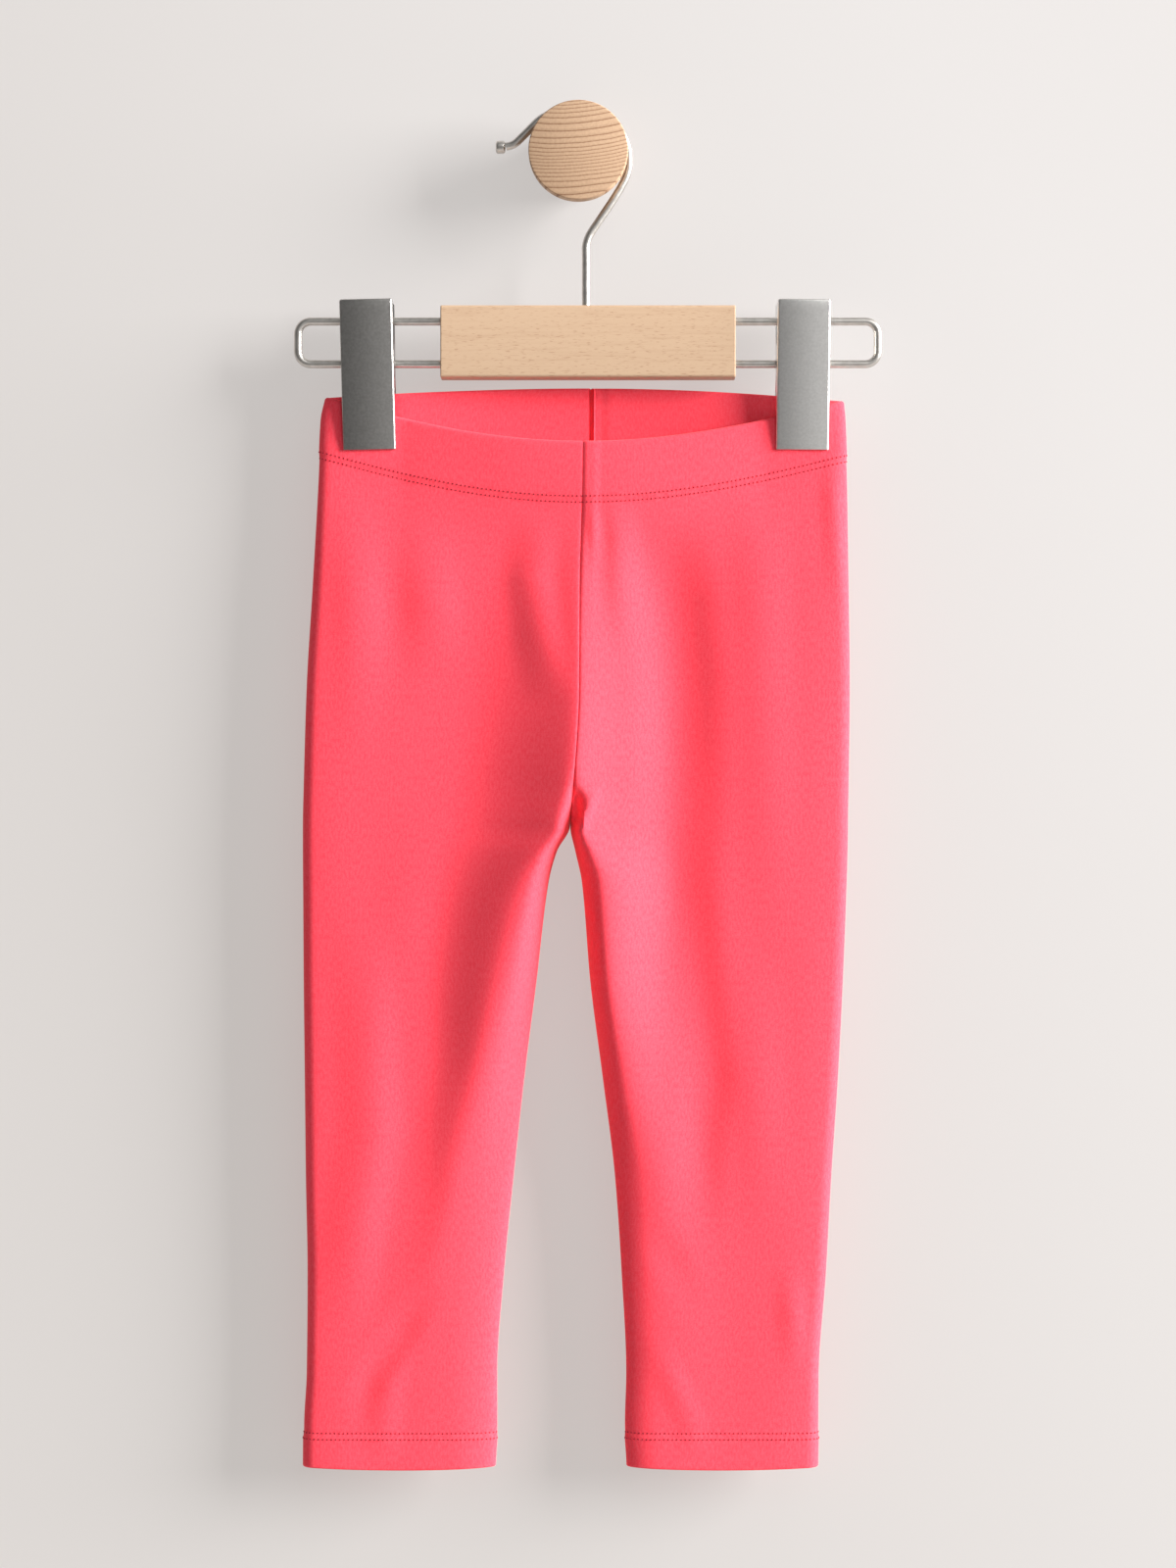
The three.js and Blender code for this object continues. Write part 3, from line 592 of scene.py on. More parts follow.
# %% The leg panels
CLOTH = 0.001
FACE_COLUMNS = 56
LEG_ROWS = 290
DIP_GONE = 0.120
DIP_BEND = 1.75


def turns(columns=FACE_COLUMNS):
    """Turns from the front seam to the back seam, with a number of columns on each face."""
    return np.linspace(0, 1, 2 * columns + 1)


def leg_drops(side, turn):
    """The drop of each row of a leg panel at each turn."""
    corner = WAIST_DROP[side]
    top, end = corner + CASING, HEM_TOP
    above = np.linspace(top, CROTCH, round(LEG_ROWS * (CROTCH - top) / (end - top)))
    below = np.linspace(CROTCH, end, LEG_ROWS - len(above))
    at_side = np.concatenate([above, below[1:]])[:, None]
    stays = (1 - np.clip((at_side - top) / (DIP_GONE - top), 0, 1)) ** DIP_BEND
    return at_side + stays * (waist_edge(side, turn)[None, :] - corner)


SIDES = {"left": -1, "right": 1}
for word, side in SIDES.items():
    drops = leg_drops(side, turns())
    grid = cloth(side, np.broadcast_to(turns(), drops.shape), drops)
    bm = cloth_sheet(grid)
    bmesh.ops.remove_doubles(bm, verts=[v for v in bm.verts if v.is_boundary], dist=WELD)
    bmesh.ops.recalc_face_normals(bm, faces=bm.faces)
    outer_face = max(bm.faces, key=lambda face: abs(face.calc_center_median().x))
    if outer_face.normal.x * side < 0:
        bmesh.ops.reverse_faces(bm, faces=bm.faces)
    piece = finished(f"jersey_leg_{word}", bm, jersey, [f"leg_panel_{word}"])
    walled(piece, CLOTH)

# %% [markdown]
# The top of each panel is turned down inside over an elastic, and stitched. That casing is a flat tube
# of two layers with a soft fold at the top. I make it as one sheet that goes up the outside, round the
# fold and down the inside, and close it along the bottom and at the seams.

# %% The waist casing
CASING_WALL = 0.0027
CASING_PROUD, CASING_EASE = 0.0004, 0.004
CASING_ROWS = 16
FOLD_STEPS = 8


def puff(from_edge, proud, ease_in):
    """How far a turned edge stands off the cloth, at a distance from its stitched edge."""
    return proud * min(1, from_edge / ease_in)


def turned_profile(height, wall, proud, rows, ease_in):
    """(distance below the fold, offset from the cloth): up the outside, down the inside and back."""
    radius = wall / 2
    outside = [(height - (height - radius) * i / rows) for i in range(rows)]
    stands = [puff(height - down, proud, ease_in) for down in outside]
    angles = [math.pi * i / FOLD_STEPS for i in range(FOLD_STEPS + 1)]
    fold = [(radius - radius * math.sin(a), proud - radius + radius * math.cos(a)) for a in angles]
    inside = [(radius + (height - radius) * (i + 1) / rows, proud - wall) for i in range(rows)]
    return [*zip(outside, stands), *fold, *inside, (outside[0], stands[0])]


def close_wall(bm):
    """Merge the rims of a turned sheet that lie on one another, and cap its open ends if it has any."""
    bmesh.ops.remove_doubles(bm, verts=[v for v in bm.verts if v.is_boundary], dist=WELD)
    bmesh.ops.holes_fill(bm, edges=[edge for edge in bm.edges if edge.is_boundary], sides=0)
    bmesh.ops.recalc_face_normals(bm, faces=bm.faces)


def turned_piece(name, side, profile, drop_of, closed, node):
    """A turned edge of cloth: profile goes round its section, drop_of gives the fold's drop by turn."""
    turn = turns()
    base = []
    for down, offset in profile:
        points, normal = laid(side, turn, drop_of(turn, down), closed)
        base.append(points + normal * offset)
    bm = cloth_sheet(np.array(base))
    close_wall(bm)
    return finished(name, bm, jersey, [node])


casing_profile = turned_profile(CASING, CASING_WALL, CASING_PROUD, CASING_ROWS, CASING_EASE)
for word, side in SIDES.items():
    turned_piece(
        f"waistband_{word}", side, casing_profile,
        lambda turn, down, side=side: waist_edge(side, turn) + down, False, f"waist_casing_{word}")

# %% [markdown]
# The hems are turned in the same way, with the fold at the bottom. Jersey curls and stretches a little
# when its hem is stitched, so the lower edge sags between the corners.

# %% The ankle hems
HEM_WALL = 0.0018
HEM_PROUD, HEM_EASE = 0.0004, 0.003
HEM_ROWS = 10
HEM_SAG, HEM_LEVEL = 0.0012, 0.6


def hem_drop(turn, down):
    """The drop of a point of the hem, at a distance above its fold, which sags between its corners."""
    from_seam = np.where(turn <= 0.5, turn, 1 - turn) * 2
    middle = np.sin(np.pi * (1 - np.cos(np.pi * from_seam)) / 2)
    return LEG_END - down + HEM_SAG * (middle - HEM_LEVEL) * (1 - down / HEM)


hem_profile = turned_profile(HEM, HEM_WALL, HEM_PROUD, HEM_ROWS, HEM_EASE)
for word, side in SIDES.items():
    turned_piece(
        f"turned_hem_{word}", side, hem_profile, hem_drop, True, f"ankle_hem_{word}")

# %% [markdown]
# Twin-needle stitching holds the casing and the hems: two rows of short stitches three millimetres
# apart. Each stitch sinks into the soft cloth, and its thread is coloured a dark red that is partly
# painted shade of the needle hole, so one sees a row of small dark dots. There are about nine hundred,
# all alike, so I make one tiny rounded stitch with create_uvsphere and let Geometry Nodes put a copy
# at each point of a row. The points carry two directions, along the row and out of the cloth, which
# turn each copy. The copies are made real and applied, so a set of rows is one mesh.

# %% Stitches
STITCH = 0.002
NEEDLE_GAP = 0.0028
THREAD_HALF = (0.00046, 0.00042, 0.00020)
LIFT = 0.00012
ROW_IN = 0.0002

bm = bmesh.new()
long_and_flat = Matrix.Diagonal((*THREAD_HALF, 1))
bmesh.ops.create_uvsphere(bm, u_segments=6, v_segments=5, radius=1, matrix=long_and_flat)
bmesh.ops.recalc_face_normals(bm, faces=bm.faces)
one_mesh = bpy.data.meshes.new("one stitch")
bm.to_mesh(one_mesh)
bm.free()
one_stitch = bpy.data.objects.new("one stitch", one_mesh)
bpy.context.scene.collection.objects.link(one_stitch)

sewn = bpy.data.node_groups.new("a stitch at each point", "GeometryNodeTree")
sewn.interface.new_socket("Points", in_out="INPUT", socket_type="NodeSocketGeometry")
sewn.interface.new_socket("Stitches", in_out="OUTPUT", socket_type="NodeSocketGeometry")
sewn_in, sewn_out = sewn.nodes.new("NodeGroupInput"), sewn.nodes.new("NodeGroupOutput")
copied = add(sewn, "GeometryNodeObjectInfo")
copied.inputs["Object"].default_value = one_stitch
ways = [add(sewn, "GeometryNodeInputNamedAttribute", {"Name": name}, data_type="FLOAT_VECTOR").outputs[0]
        for name in ("out", "along")]
turned = add(sewn, "FunctionNodeAxesToRotation", {0: ways[0], 1: ways[1]},
             primary_axis="Z", secondary_axis="X")
put = add(sewn, "GeometryNodeInstanceOnPoints", {
    "Points": sewn_in.outputs[0], "Instance": copied.outputs["Geometry"], "Rotation": turned.outputs[0]})
real = add(sewn, "GeometryNodeRealizeInstances", {0: put.outputs[0]})
sewn.links.new(real.outputs[0], sewn_out.inputs[0])


def stitch_row(bm, side, drop_of, offset, closed):
    """Points of one row of stitches along the cloth, a fixed distance apart."""
    out, along = (bm.verts.layers.float_vector[name] for name in ("out", "along"))
    fine = turns(220)
    points, normal = laid(side, fine, drop_of(fine), closed)
    row = points + normal * offset
    ahead = np.gradient(row, axis=0)
    length = np.concatenate([[0], np.cumsum(np.linalg.norm(np.diff(row, axis=0), axis=-1))])
    for at in np.arange(STITCH / 2, length[-1] - STITCH / 2, STITCH):
        spot, up, way = ([np.interp(at, length, column) for column in values.T]
                         for values in (row, normal, ahead))
        vert = bm.verts.new(spot)
        vert[out] = up
        vert[along] = way


def sewing(name, rows):
    """A piece with several rows of stitches."""
    bm = bmesh.new()
    for layer in ("out", "along"):
        bm.verts.layers.float_vector.new(layer)
    for row in rows:
        stitch_row(bm, *row)
    piece = finished(name, bm, thread)
    piece.modifiers.new("stitches", "NODES").node_group = sewn
    applied(piece)
    piece.data.materials.clear()
    piece.data.materials.append(thread)
    print(name, len(piece.data.polygons), "faces when sewn")
    return piece


waist_rows = [(side, lambda turn, side=side, up=up: waist_edge(side, turn) + CASING - up,
               puff(up, CASING_PROUD, CASING_EASE) + LIFT, False)
              for side in SIDES.values() for up in (ROW_IN, ROW_IN + NEEDLE_GAP)]
waist_stitches = sewing("waist_stitches", waist_rows)
for word, side in SIDES.items():
    hem_rows = [(side, lambda turn, up=up: HEM_TOP + up, puff(up, HEM_PROUD, HEM_EASE) + LIFT, True)
                for up in (ROW_IN, ROW_IN + NEEDLE_GAP)]
    sewing(f"hem_stitches_{word}", hem_rows)
bpy.data.objects.remove(one_stitch)

# %% [markdown]

# %% [markdown]
# The garment hangs on a frame of bent wire. Wire is a round section drawn along a route, so I make it
# that way: one ring of edges, extruded from point to point and turned a little at each. A curve object
# with a round bevel would do it too, but a mesh lets each end be closed and finished as it is here.
# The route's corners are arcs, because real wire has no sharp bend.

# %% Helpers for round metal and turned wood
WIRE = 0.0019
UPPER_WIRE, LOWER_WIRE = -0.078, -0.0978
WIRE_SIDES = 20


def swept(route, radius, sides=WIRE_SIDES):
    """A round rod along a route: a ring of edges is extruded from point to point."""
    route = [Vector(point) for point in route]
    bm = bmesh.new()
    facing = (route[1] - route[0]).normalized()
    start = Matrix.Translation(route[0]) @ facing.to_track_quat("Z", "Y").to_matrix().to_4x4()
    bmesh.ops.create_circle(bm, cap_ends=True, segments=sides, radius=radius, matrix=start)
    ring = bm.edges[:]
    ends = [*route[2:], 2 * route[-1] - route[-2]]
    for before, here, after in zip(route, route[1:], ends):
        made = bmesh.ops.extrude_edge_only(bm, edges=ring)["geom"]
        verts = set(only(made, bmesh.types.BMVert))
        ring = [edge for edge in only(made, bmesh.types.BMEdge) if verts.issuperset(edge.verts)]
        heading = ((here - before).normalized() + (after - here).normalized()).normalized()
        bmesh.ops.translate(bm, verts=list(verts), vec=here - before)
        turn = facing.rotation_difference(heading).to_matrix()
        bmesh.ops.rotate(bm, verts=list(verts), cent=here, matrix=turn)
        facing = heading
    bmesh.ops.holes_fill(bm, edges=[edge for edge in bm.edges if edge.is_boundary], sides=0)
    bmesh.ops.recalc_face_normals(bm, faces=bm.faces)
    return bm


def spun(profile, centre, axis, steps):
    """A turned shape: a profile whose two ends lie on the axis, spun once round it."""
    bm = bmesh.new()
    verts = [bm.verts.new(point) for point in profile]
    edges = [bm.edges.new(pair) for pair in zip(verts, verts[1:])]
    bmesh.ops.spin(bm, geom=[*verts, *edges], cent=centre, axis=axis, dvec=(0, 0, 0),
                   angle=2 * math.pi, steps=steps, use_merge=True)
    bmesh.ops.remove_doubles(bm, verts=bm.verts, dist=WELD)
    bmesh.ops.recalc_face_normals(bm, faces=bm.faces)
    return bm


def corners(bm, angle=40):
    """The edges where a shape turns by more than an angle."""
    return [edge for edge in bm.edges if edge.calc_face_angle(0) > math.radians(angle)]


def rounded(bm, edges, radius, segments):
    """Round some edges off."""
    bmesh.ops.bevel(bm, geom=edges, offset=radius, segments=segments, profile=0.5, affect="EDGES",
                    material=-1, clamp_overlap=True)


def bored(piece, holes):
    """Cut round holes, each from one point to another with a radius, through a finished piece."""
    tools = []
    for start, end, radius in holes:
        bm = swept([start, end], radius, sides=32)
        mesh = bpy.data.meshes.new("drill")
        bm.to_mesh(mesh)
        bm.free()
        tool = bpy.data.objects.new("drill", mesh)
        bpy.context.scene.collection.objects.link(tool)
        tools.append(tool)
        cut = piece.modifiers.new("hole", "BOOLEAN")
        cut.operation = "DIFFERENCE"
        cut.solver = "EXACT"
        cut.object = tool
        cut.use_self = True
    applied(piece)
    for tool in tools:
        bpy.data.objects.remove(tool)
    return piece


# %% [markdown]
# Satin-plated steel shows no grain from a step away. What one sees is a soft, broad reflection, a faint
# mottle, and bright lines where the sheet bends. The mottle and the tiny bumps of the plating are one
# group of nodes, placed in the materials of the wire, the clips and the springs with their own values.
# Both woods share a group too. It draws growth rings round a pith, which lies outside the piece, with
# pale early wood that darkens towards each ring's edge. It also gives fine fibres and the short dark
# flecks that beech has. The grain runs along X in the group, so the peg turns its coordinates first.

# %% Satin steel
plating, plating_in, plating_out = new_group(
    "satin plating",
    [("Vector", "NodeSocketVector", None), ("Mottle size", "NodeSocketFloat", 400.0)],
    [("Mottle", "NodeSocketFloat"), ("Height", "NodeSocketFloat")],
)
mottle = add(plating, "ShaderNodeTexNoise", {
    0: plating_in.outputs["Vector"], "Scale": plating_in.outputs["Mottle size"], "Detail": 4.0})
grit = add(plating, "ShaderNodeTexNoise", {0: plating_in.outputs["Vector"], "Scale": 5200.0, "Detail": 1.0})
plating.links.new(mottle.outputs[0], plating_out.inputs["Mottle"])
plating.links.new(grit.outputs[0], plating_out.inputs["Height"])


def satin_steel(name, dark, light, rough, mottle_size):
    """Plated steel with its own two tones, roughness and size of mottle."""
    material, tree, shader = on_material(name)
    at = add(tree, "ShaderNodeTexCoord").outputs["Object"]
    made = placed(tree, plating, {"Vector": at, "Mottle size": mottle_size})
    tone = ramp(tree, made.outputs["Mottle"], (0.35, dark), (0.65, light))
    tree.links.new(tone, shader.inputs["Base Color"])
    rougher = maths(tree, "MULTIPLY_ADD", made.outputs["Mottle"], 0.08, rough - 0.04)
    tree.links.new(rougher, shader.inputs["Roughness"])
    bumped(tree, shader, made.outputs["Height"], 0.08, 0.00002)
    shader.inputs["Metallic"].default_value = 1.0
    return material


wire_steel = satin_steel("satin wire", (0.56, 0.53, 0.49), (0.66, 0.63, 0.59), 0.36, 300.0)
# Both clips are one steel: the left one's is painted darker and the right one's lighter, as painted reflection
# of a dark and a bright surround.
clip_steels_with_painted_reflection = {
    "left": satin_steel("satin clip, painted dark reflection", (0.40, 0.385, 0.365), (0.46, 0.445, 0.425), 0.30, 900.0),
    "right": satin_steel("satin clip, painted bright reflection", (0.82, 0.80, 0.77), (0.89, 0.87, 0.84), 0.30, 900.0),
}
spring_steel = satin_steel("spring steel", (0.36, 0.35, 0.33), (0.46, 0.45, 0.43), 0.32, 800.0)

# %% Wood
wood, wood_in, wood_out = new_group(
    "wood grain",
    [("Vector", "NodeSocketVector", None), ("Pith across", "NodeSocketFloat", 0.0),
     ("Pith up", "NodeSocketFloat", 0.1), ("Ring", "NodeSocketFloat", 0.002),
     ("Bunching", "NodeSocketFloat", 0.0), ("Bunch", "NodeSocketFloat", 209.0),
     ("Densest", "NodeSocketFloat", 0.0), ("Wander", "NodeSocketFloat", 0.001)],
    [("Rings", "NodeSocketFloat"), ("Fibre", "NodeSocketFloat"), ("Flecks", "NodeSocketFloat")],
)
wander = add(wood, "ShaderNodeTexNoise", {0: wood_in.outputs["Vector"], "Scale": 45.0, "Detail": 2.0})
shaken = maths(wood, "MULTIPLY", maths(wood, "SUBTRACT", wander.outputs[0], 0.5), wood_in.outputs["Wander"])
from_axis = add(wood, "ShaderNodeSeparateXYZ", {0: wood_in.outputs["Vector"]})
pith_y, pith_z = wood_in.outputs["Pith across"], wood_in.outputs["Pith up"]
apart_y = maths(wood, "SUBTRACT", from_axis.outputs[1], pith_y)
apart_z = maths(wood, "SUBTRACT", from_axis.outputs[2], pith_z)
squared = maths(wood, "MULTIPLY_ADD", apart_z, apart_z, maths(wood, "MULTIPLY", apart_y, apart_y))
reach = maths(wood, "ADD", maths(wood, "SQRT", squared), shaken)
depth_in = maths(wood, "SUBTRACT", reach, maths(wood, "ABSOLUTE", pith_z))
from_dense = maths(wood, "SUBTRACT", depth_in, wood_in.outputs["Densest"])
swing = maths(wood, "SINE", maths(wood, "MULTIPLY", from_dense, wood_in.outputs["Bunch"]))
bunched = maths(wood, "MULTIPLY", swing, wood_in.outputs["Bunching"])
years = maths(wood, "ADD", maths(wood, "DIVIDE", depth_in, wood_in.outputs["Ring"]), bunched)
in_year = maths(wood, "FRACT", years)
ring_tone = ramp(wood, in_year, (0.0, 0.75), (0.10, 0.10), (0.55, 0.06), (0.86, 0.42), (0.95, 1.0))
fibre_at = add(wood, "ShaderNodeMapping", {0: wood_in.outputs["Vector"], "Scale": (0.03, 1.0, 1.0)})
fibre = add(wood, "ShaderNodeTexNoise", {0: fibre_at.outputs[0], "Scale": 900.0, "Detail": 3.0})
fleck_at = add(wood, "ShaderNodeMapping", {0: wood_in.outputs["Vector"], "Scale": (0.14, 1.0, 1.0)})
flecks = add(wood, "ShaderNodeTexNoise", {0: fleck_at.outputs[0], "Scale": 2100.0, "Detail": 1.0})
fleck_tone = ramp(wood, flecks.outputs[0], (0.60, 0.0), (0.70, 1.0))
wood.links.new(ring_tone, wood_out.inputs["Rings"])
wood.links.new(fibre.outputs[0], wood_out.inputs["Fibre"])
wood.links.new(fleck_tone, wood_out.inputs["Flecks"])


def bare_wood(name, pale, ring, turn, values, shows):
    """Unvarnished wood: rings, fibres and flecks each darken the pale tone by their share."""
    material, tree, shader = on_material(name)
    at = add(tree, "ShaderNodeTexCoord").outputs["Object"]
    turned = add(tree, "ShaderNodeMapping", {0: at, "Rotation": (0, 0, turn)}).outputs[0]
    made = placed(tree, wood, {"Vector": turned, **values})
    share = maths(tree, "MULTIPLY", made.outputs["Rings"], shows["rings"])
    share = maths(tree, "MULTIPLY_ADD", made.outputs["Flecks"], shows["flecks"], share)
    fibres = maths(tree, "SUBTRACT", made.outputs["Fibre"], 0.5)
    share = maths(tree, "MULTIPLY_ADD", fibres, shows["fibres"], share, clamp=True)
    tree.links.new(blended(tree, share, (*pale, 1), (*ring, 1)), shader.inputs["Base Color"])
    bumped(tree, shader, share, 0.25, 0.00006, invert=True)
    tree.links.new(maths(tree, "MULTIPLY_ADD", share, 0.15, 0.55), shader.inputs["Roughness"])
    shader.inputs["Specular IOR Level"].default_value = 0.25
    return material


peg_wood = bare_wood(
    "peg end grain", (0.50, 0.330, 0.210), (0.20, 0.098, 0.048), math.radians(90),
    {"Pith across": -0.010, "Pith up": 0.120, "Ring": 0.0021, "Bunching": 0.92, "Densest": 0.006,
     "Wander": 0.0012},
    {"rings": 0.9, "flecks": 0.10, "fibres": 0.55})
bar_wood = bare_wood(
    "beech", (0.51, 0.352, 0.232), (0.30, 0.158, 0.083), 0.0,
    {"Pith across": 0.10, "Pith up": 0.180, "Ring": 0.0075, "Bunching": 0.3, "Wander": 0.012},
    {"rings": 0.10, "flecks": 0.50, "fibres": 0.45})
print("groups:", plating.name, "and", wood.name)

# %% [markdown]
# The peg is turned on a lathe: a neck that goes to the wall, and a wider head that keeps the hook on.
# So it is a profile of straight lines, spun round its own axis, with its rims rounded afterwards.

# %% The wall peg
NECK, HEAD = 0.0173, 0.023
HEAD_BACK, PEG_FRONT = -0.025, -0.034
PEG_STEPS = 96
PEG_EDGE = 0.0007
peg_profile = [(0, 0, 0), (NECK, 0, 0), (NECK, HEAD_BACK, 0),
               (HEAD, HEAD_BACK, 0), (HEAD, PEG_FRONT, 0), (0, PEG_FRONT, 0)]
bm = spun(peg_profile, (0, 0, 0), (0, 1, 0), PEG_STEPS)
rounded(bm, corners(bm), PEG_EDGE, 3)
finished("turned_peg", bm, peg_wood, ["wall_peg"], sharp=20)

# %% [markdown]
# The bar is a planed block of beech with its long edges rounded over and its ends just broken with
# sandpaper. Two bores run lengthways for the wires, and one goes down from the top for the hook's stem.
# I start from a cube, bevel the long edges and the ends by their own sizes, and cut the bores.

# %% The wooden bar
BAR_LENGTH, BAR_THICK, BAR_HEIGHT = 0.1366, 0.015, 0.0335
BAR_Z = (UPPER_WIRE + LOWER_WIRE) / 2
BAR_ROUND, BAR_BROKEN = 0.0016, 0.0005
BORE = 0.0022
STEM_X = 0.0036
STEM_SEAT, STEM_ROOM = 0.020, 0.0005
bar_centre = Vector((HANGER_X, HANGER_Y, BAR_Z))
bm = bmesh.new()
block = Matrix.Translation(bar_centre) @ Matrix.Diagonal((BAR_LENGTH, BAR_THICK, BAR_HEIGHT, 1))
bmesh.ops.create_cube(bm, size=1, matrix=block)
along = [edge for edge in bm.edges if abs(edge.verts[0].co.x - edge.verts[1].co.x) > BAR_LENGTH / 2]
rounded(bm, along, BAR_ROUND, 5)
rounded(bm, corners(bm, 60), BAR_BROKEN, 2)
bar = finished("beech_bar", bm, bar_wood, ["hanger_bar"], sharp=35)
reach_x = Vector((BAR_LENGTH / 2 + WIRE, 0, 0))
bores = [(Vector((HANGER_X, HANGER_Y, z)) - reach_x, Vector((HANGER_X, HANGER_Y, z)) + reach_x, BORE)
         for z in (UPPER_WIRE, LOWER_WIRE)]
bar_top = BAR_Z + BAR_HEIGHT / 2
bores.append(((STEM_X, HANGER_Y, bar_top - STEM_SEAT - STEM_ROOM), (STEM_X, HANGER_Y, bar_top + WIRE), BORE))
bored(bar, bores)
bar.data.set_sharp_from_angle(angle=math.radians(15))
print("bar:", len(bar.data.polygons), "faces with its bores")

# %% [markdown]
# Each end of the frame is one wire that leaves the bar, turns down through two round corners and goes
# back into the bar. The hook is one wire too: its stem stands in the bar, cranks to the side, goes over
# the peg's neck and ends behind the head in a small knob.

# %% The wires
LOOP_REACH, LOOP_CORNER = 0.1346, 0.0059
WIRE_END = 0.005
CORNER_STEPS = 9
HOOK_BEND = [
    # x and z from the peg's axis
    (0.0036, -0.0460), (0.0037, -0.0424), (0.0054, -0.0376), (0.0098, -0.0310), (0.0157, -0.0223),
    (0.0203, -0.0147), (0.0228, -0.0088), (0.0234, -0.0028), (0.0225, 0.0040), (0.0196, 0.0101),
    (0.0147, 0.0150), (0.0082, 0.0184), (0.0014, 0.0195), (-0.0058, 0.0196), (-0.0126, 0.0184),
    (-0.0170, 0.0163), (-0.0200, 0.0138), (-0.0230, 0.0108), (-0.0264, 0.0074), (-0.0292, 0.0048),
    (-0.0314, 0.0037), (-0.0336, 0.0032),
]
HOOK_STEPS = 5


def quarter(x, z, start):
    """A round corner of the frame, a quarter turn clockwise from an angle in degrees."""
    angles = [math.radians(start - 90 * i / CORNER_STEPS) for i in range(CORNER_STEPS + 1)]
    return [(x + LOOP_CORNER * math.cos(a), z + LOOP_CORNER * math.sin(a)) for a in angles]


def smoothed(points, steps):
    """A smooth line through points: each stretch is a Bezier curve with its neighbours' slope."""
    points = [Vector((x, HANGER_Y, z)) for x, z in points]
    before = [points[0], *points[:-1]]
    after = [*points[1:], points[-1]]
    slopes = [(b - a) / 6 for a, b in zip(before, after)]
    line = points[:1]
    for a, b, slope_a, slope_b in zip(points, points[1:], slopes, slopes[1:]):
        line += geometry.interpolate_bezier(a, a + slope_a, b - slope_b, b, steps + 1)[1:]
    return line


for word, side in SIDES.items():
    corner_x = LOOP_REACH - LOOP_CORNER
    bend = quarter(corner_x, UPPER_WIRE - LOOP_CORNER, 90) + quarter(corner_x, LOWER_WIRE + LOOP_CORNER, 0)
    flat_route = [(WIRE_END, UPPER_WIRE), *bend, (WIRE_END, LOWER_WIRE)]
    route = [(HANGER_X + side * x, HANGER_Y, z) for x, z in flat_route]
    finished(f"frame_wire_{word}", swept(route, WIRE), wire_steel, [f"wire_loop_{word}"])

hook_route = [Vector((STEM_X, HANGER_Y, bar_top - STEM_SEAT)), *smoothed(HOOK_BEND, HOOK_STEPS)]
finished("bent_hook", swept(hook_route, WIRE), wire_steel, ["hanger_hook"])

# %% The knob
KNOB_X, KNOB_Z = -0.0361, 0.0029
KNOB_RADIUS, KNOB_LENGTH, KNOB_ROUND = 0.0030, 0.0044, 0.0012
KNOB_STEPS = 6
knob_bend = [math.pi / 2 * i / KNOB_STEPS for i in range(KNOB_STEPS + 1)]
knob_half = [(KNOB_LENGTH / 2 - KNOB_ROUND + KNOB_ROUND * math.cos(a),
              KNOB_RADIUS - KNOB_ROUND + KNOB_ROUND * math.sin(a)) for a in knob_bend]
knob_other = [(-x, r) for x, r in reversed(knob_half)]
knob_line = [(KNOB_LENGTH / 2, 0), *knob_half, *knob_other, (-KNOB_LENGTH / 2, 0)]
knob_profile = [(KNOB_X + x, HANGER_Y, KNOB_Z + r) for x, r in knob_line]
bm = spun(knob_profile, (KNOB_X, HANGER_Y, KNOB_Z), (1, 0, 0), 28)
finished("hook_tip", bm, wire_steel, ["hook_knob"])

# %% [markdown]
# A trouser clip is two plates pressed from sheet steel that turn on the lower wire, with a coiled spring
# between them. A press bends the sheet, so I start with the flat outline of one flange, extrude its
# bends across the plate and copy the flange to the other side. That sheet gets its bends rounded with
# a bevel and its thickness with solidify. The plates are a little domed at their ends, which is what
# makes their top and foot catch a lighter tone.

# %% The clips' plates
CLIP_HALF = 0.01225
PLATE = 0.0012
JAW_Z, JAW_Y = -0.040, 0.0056
CLIP_TOP, CLIP_TOP_Y = 0.029, 0.0125
PLATE_DOME = 0.0004
FLANGE = 0.0034
JAW_FLANGE = 0.0015
BEND = 0.0011
RIM = 0.00014
LUG, LUG_RADIUS, WIRE_HOLE = 0.0012, 0.0049, 0.0026
LUG_OUTSIDE = CLIP_HALF - PLATE - 0.0003
PLATE_ROWS = 14
PLATE_MIDDLE = -0.01
CLIPS = {"left": (-0.102, -1.2), "right": (0.0996, 0.5)}


def plate_y(z):
    """How far a plate's outer face is from the wire's plane: a straight lean with domed ends."""
    share = (z - JAW_Z) / (CLIP_TOP - JAW_Z)
    return mix(JAW_Y, CLIP_TOP_Y, share) - PLATE_DOME * abs(2 * share - 1) ** 4


def from_middle(face):
    """How far a face of a plate is from the middle of its broad side."""
    centre = face.calc_center_median()
    return abs(centre.z - PLATE_MIDDLE) + abs(centre.x)


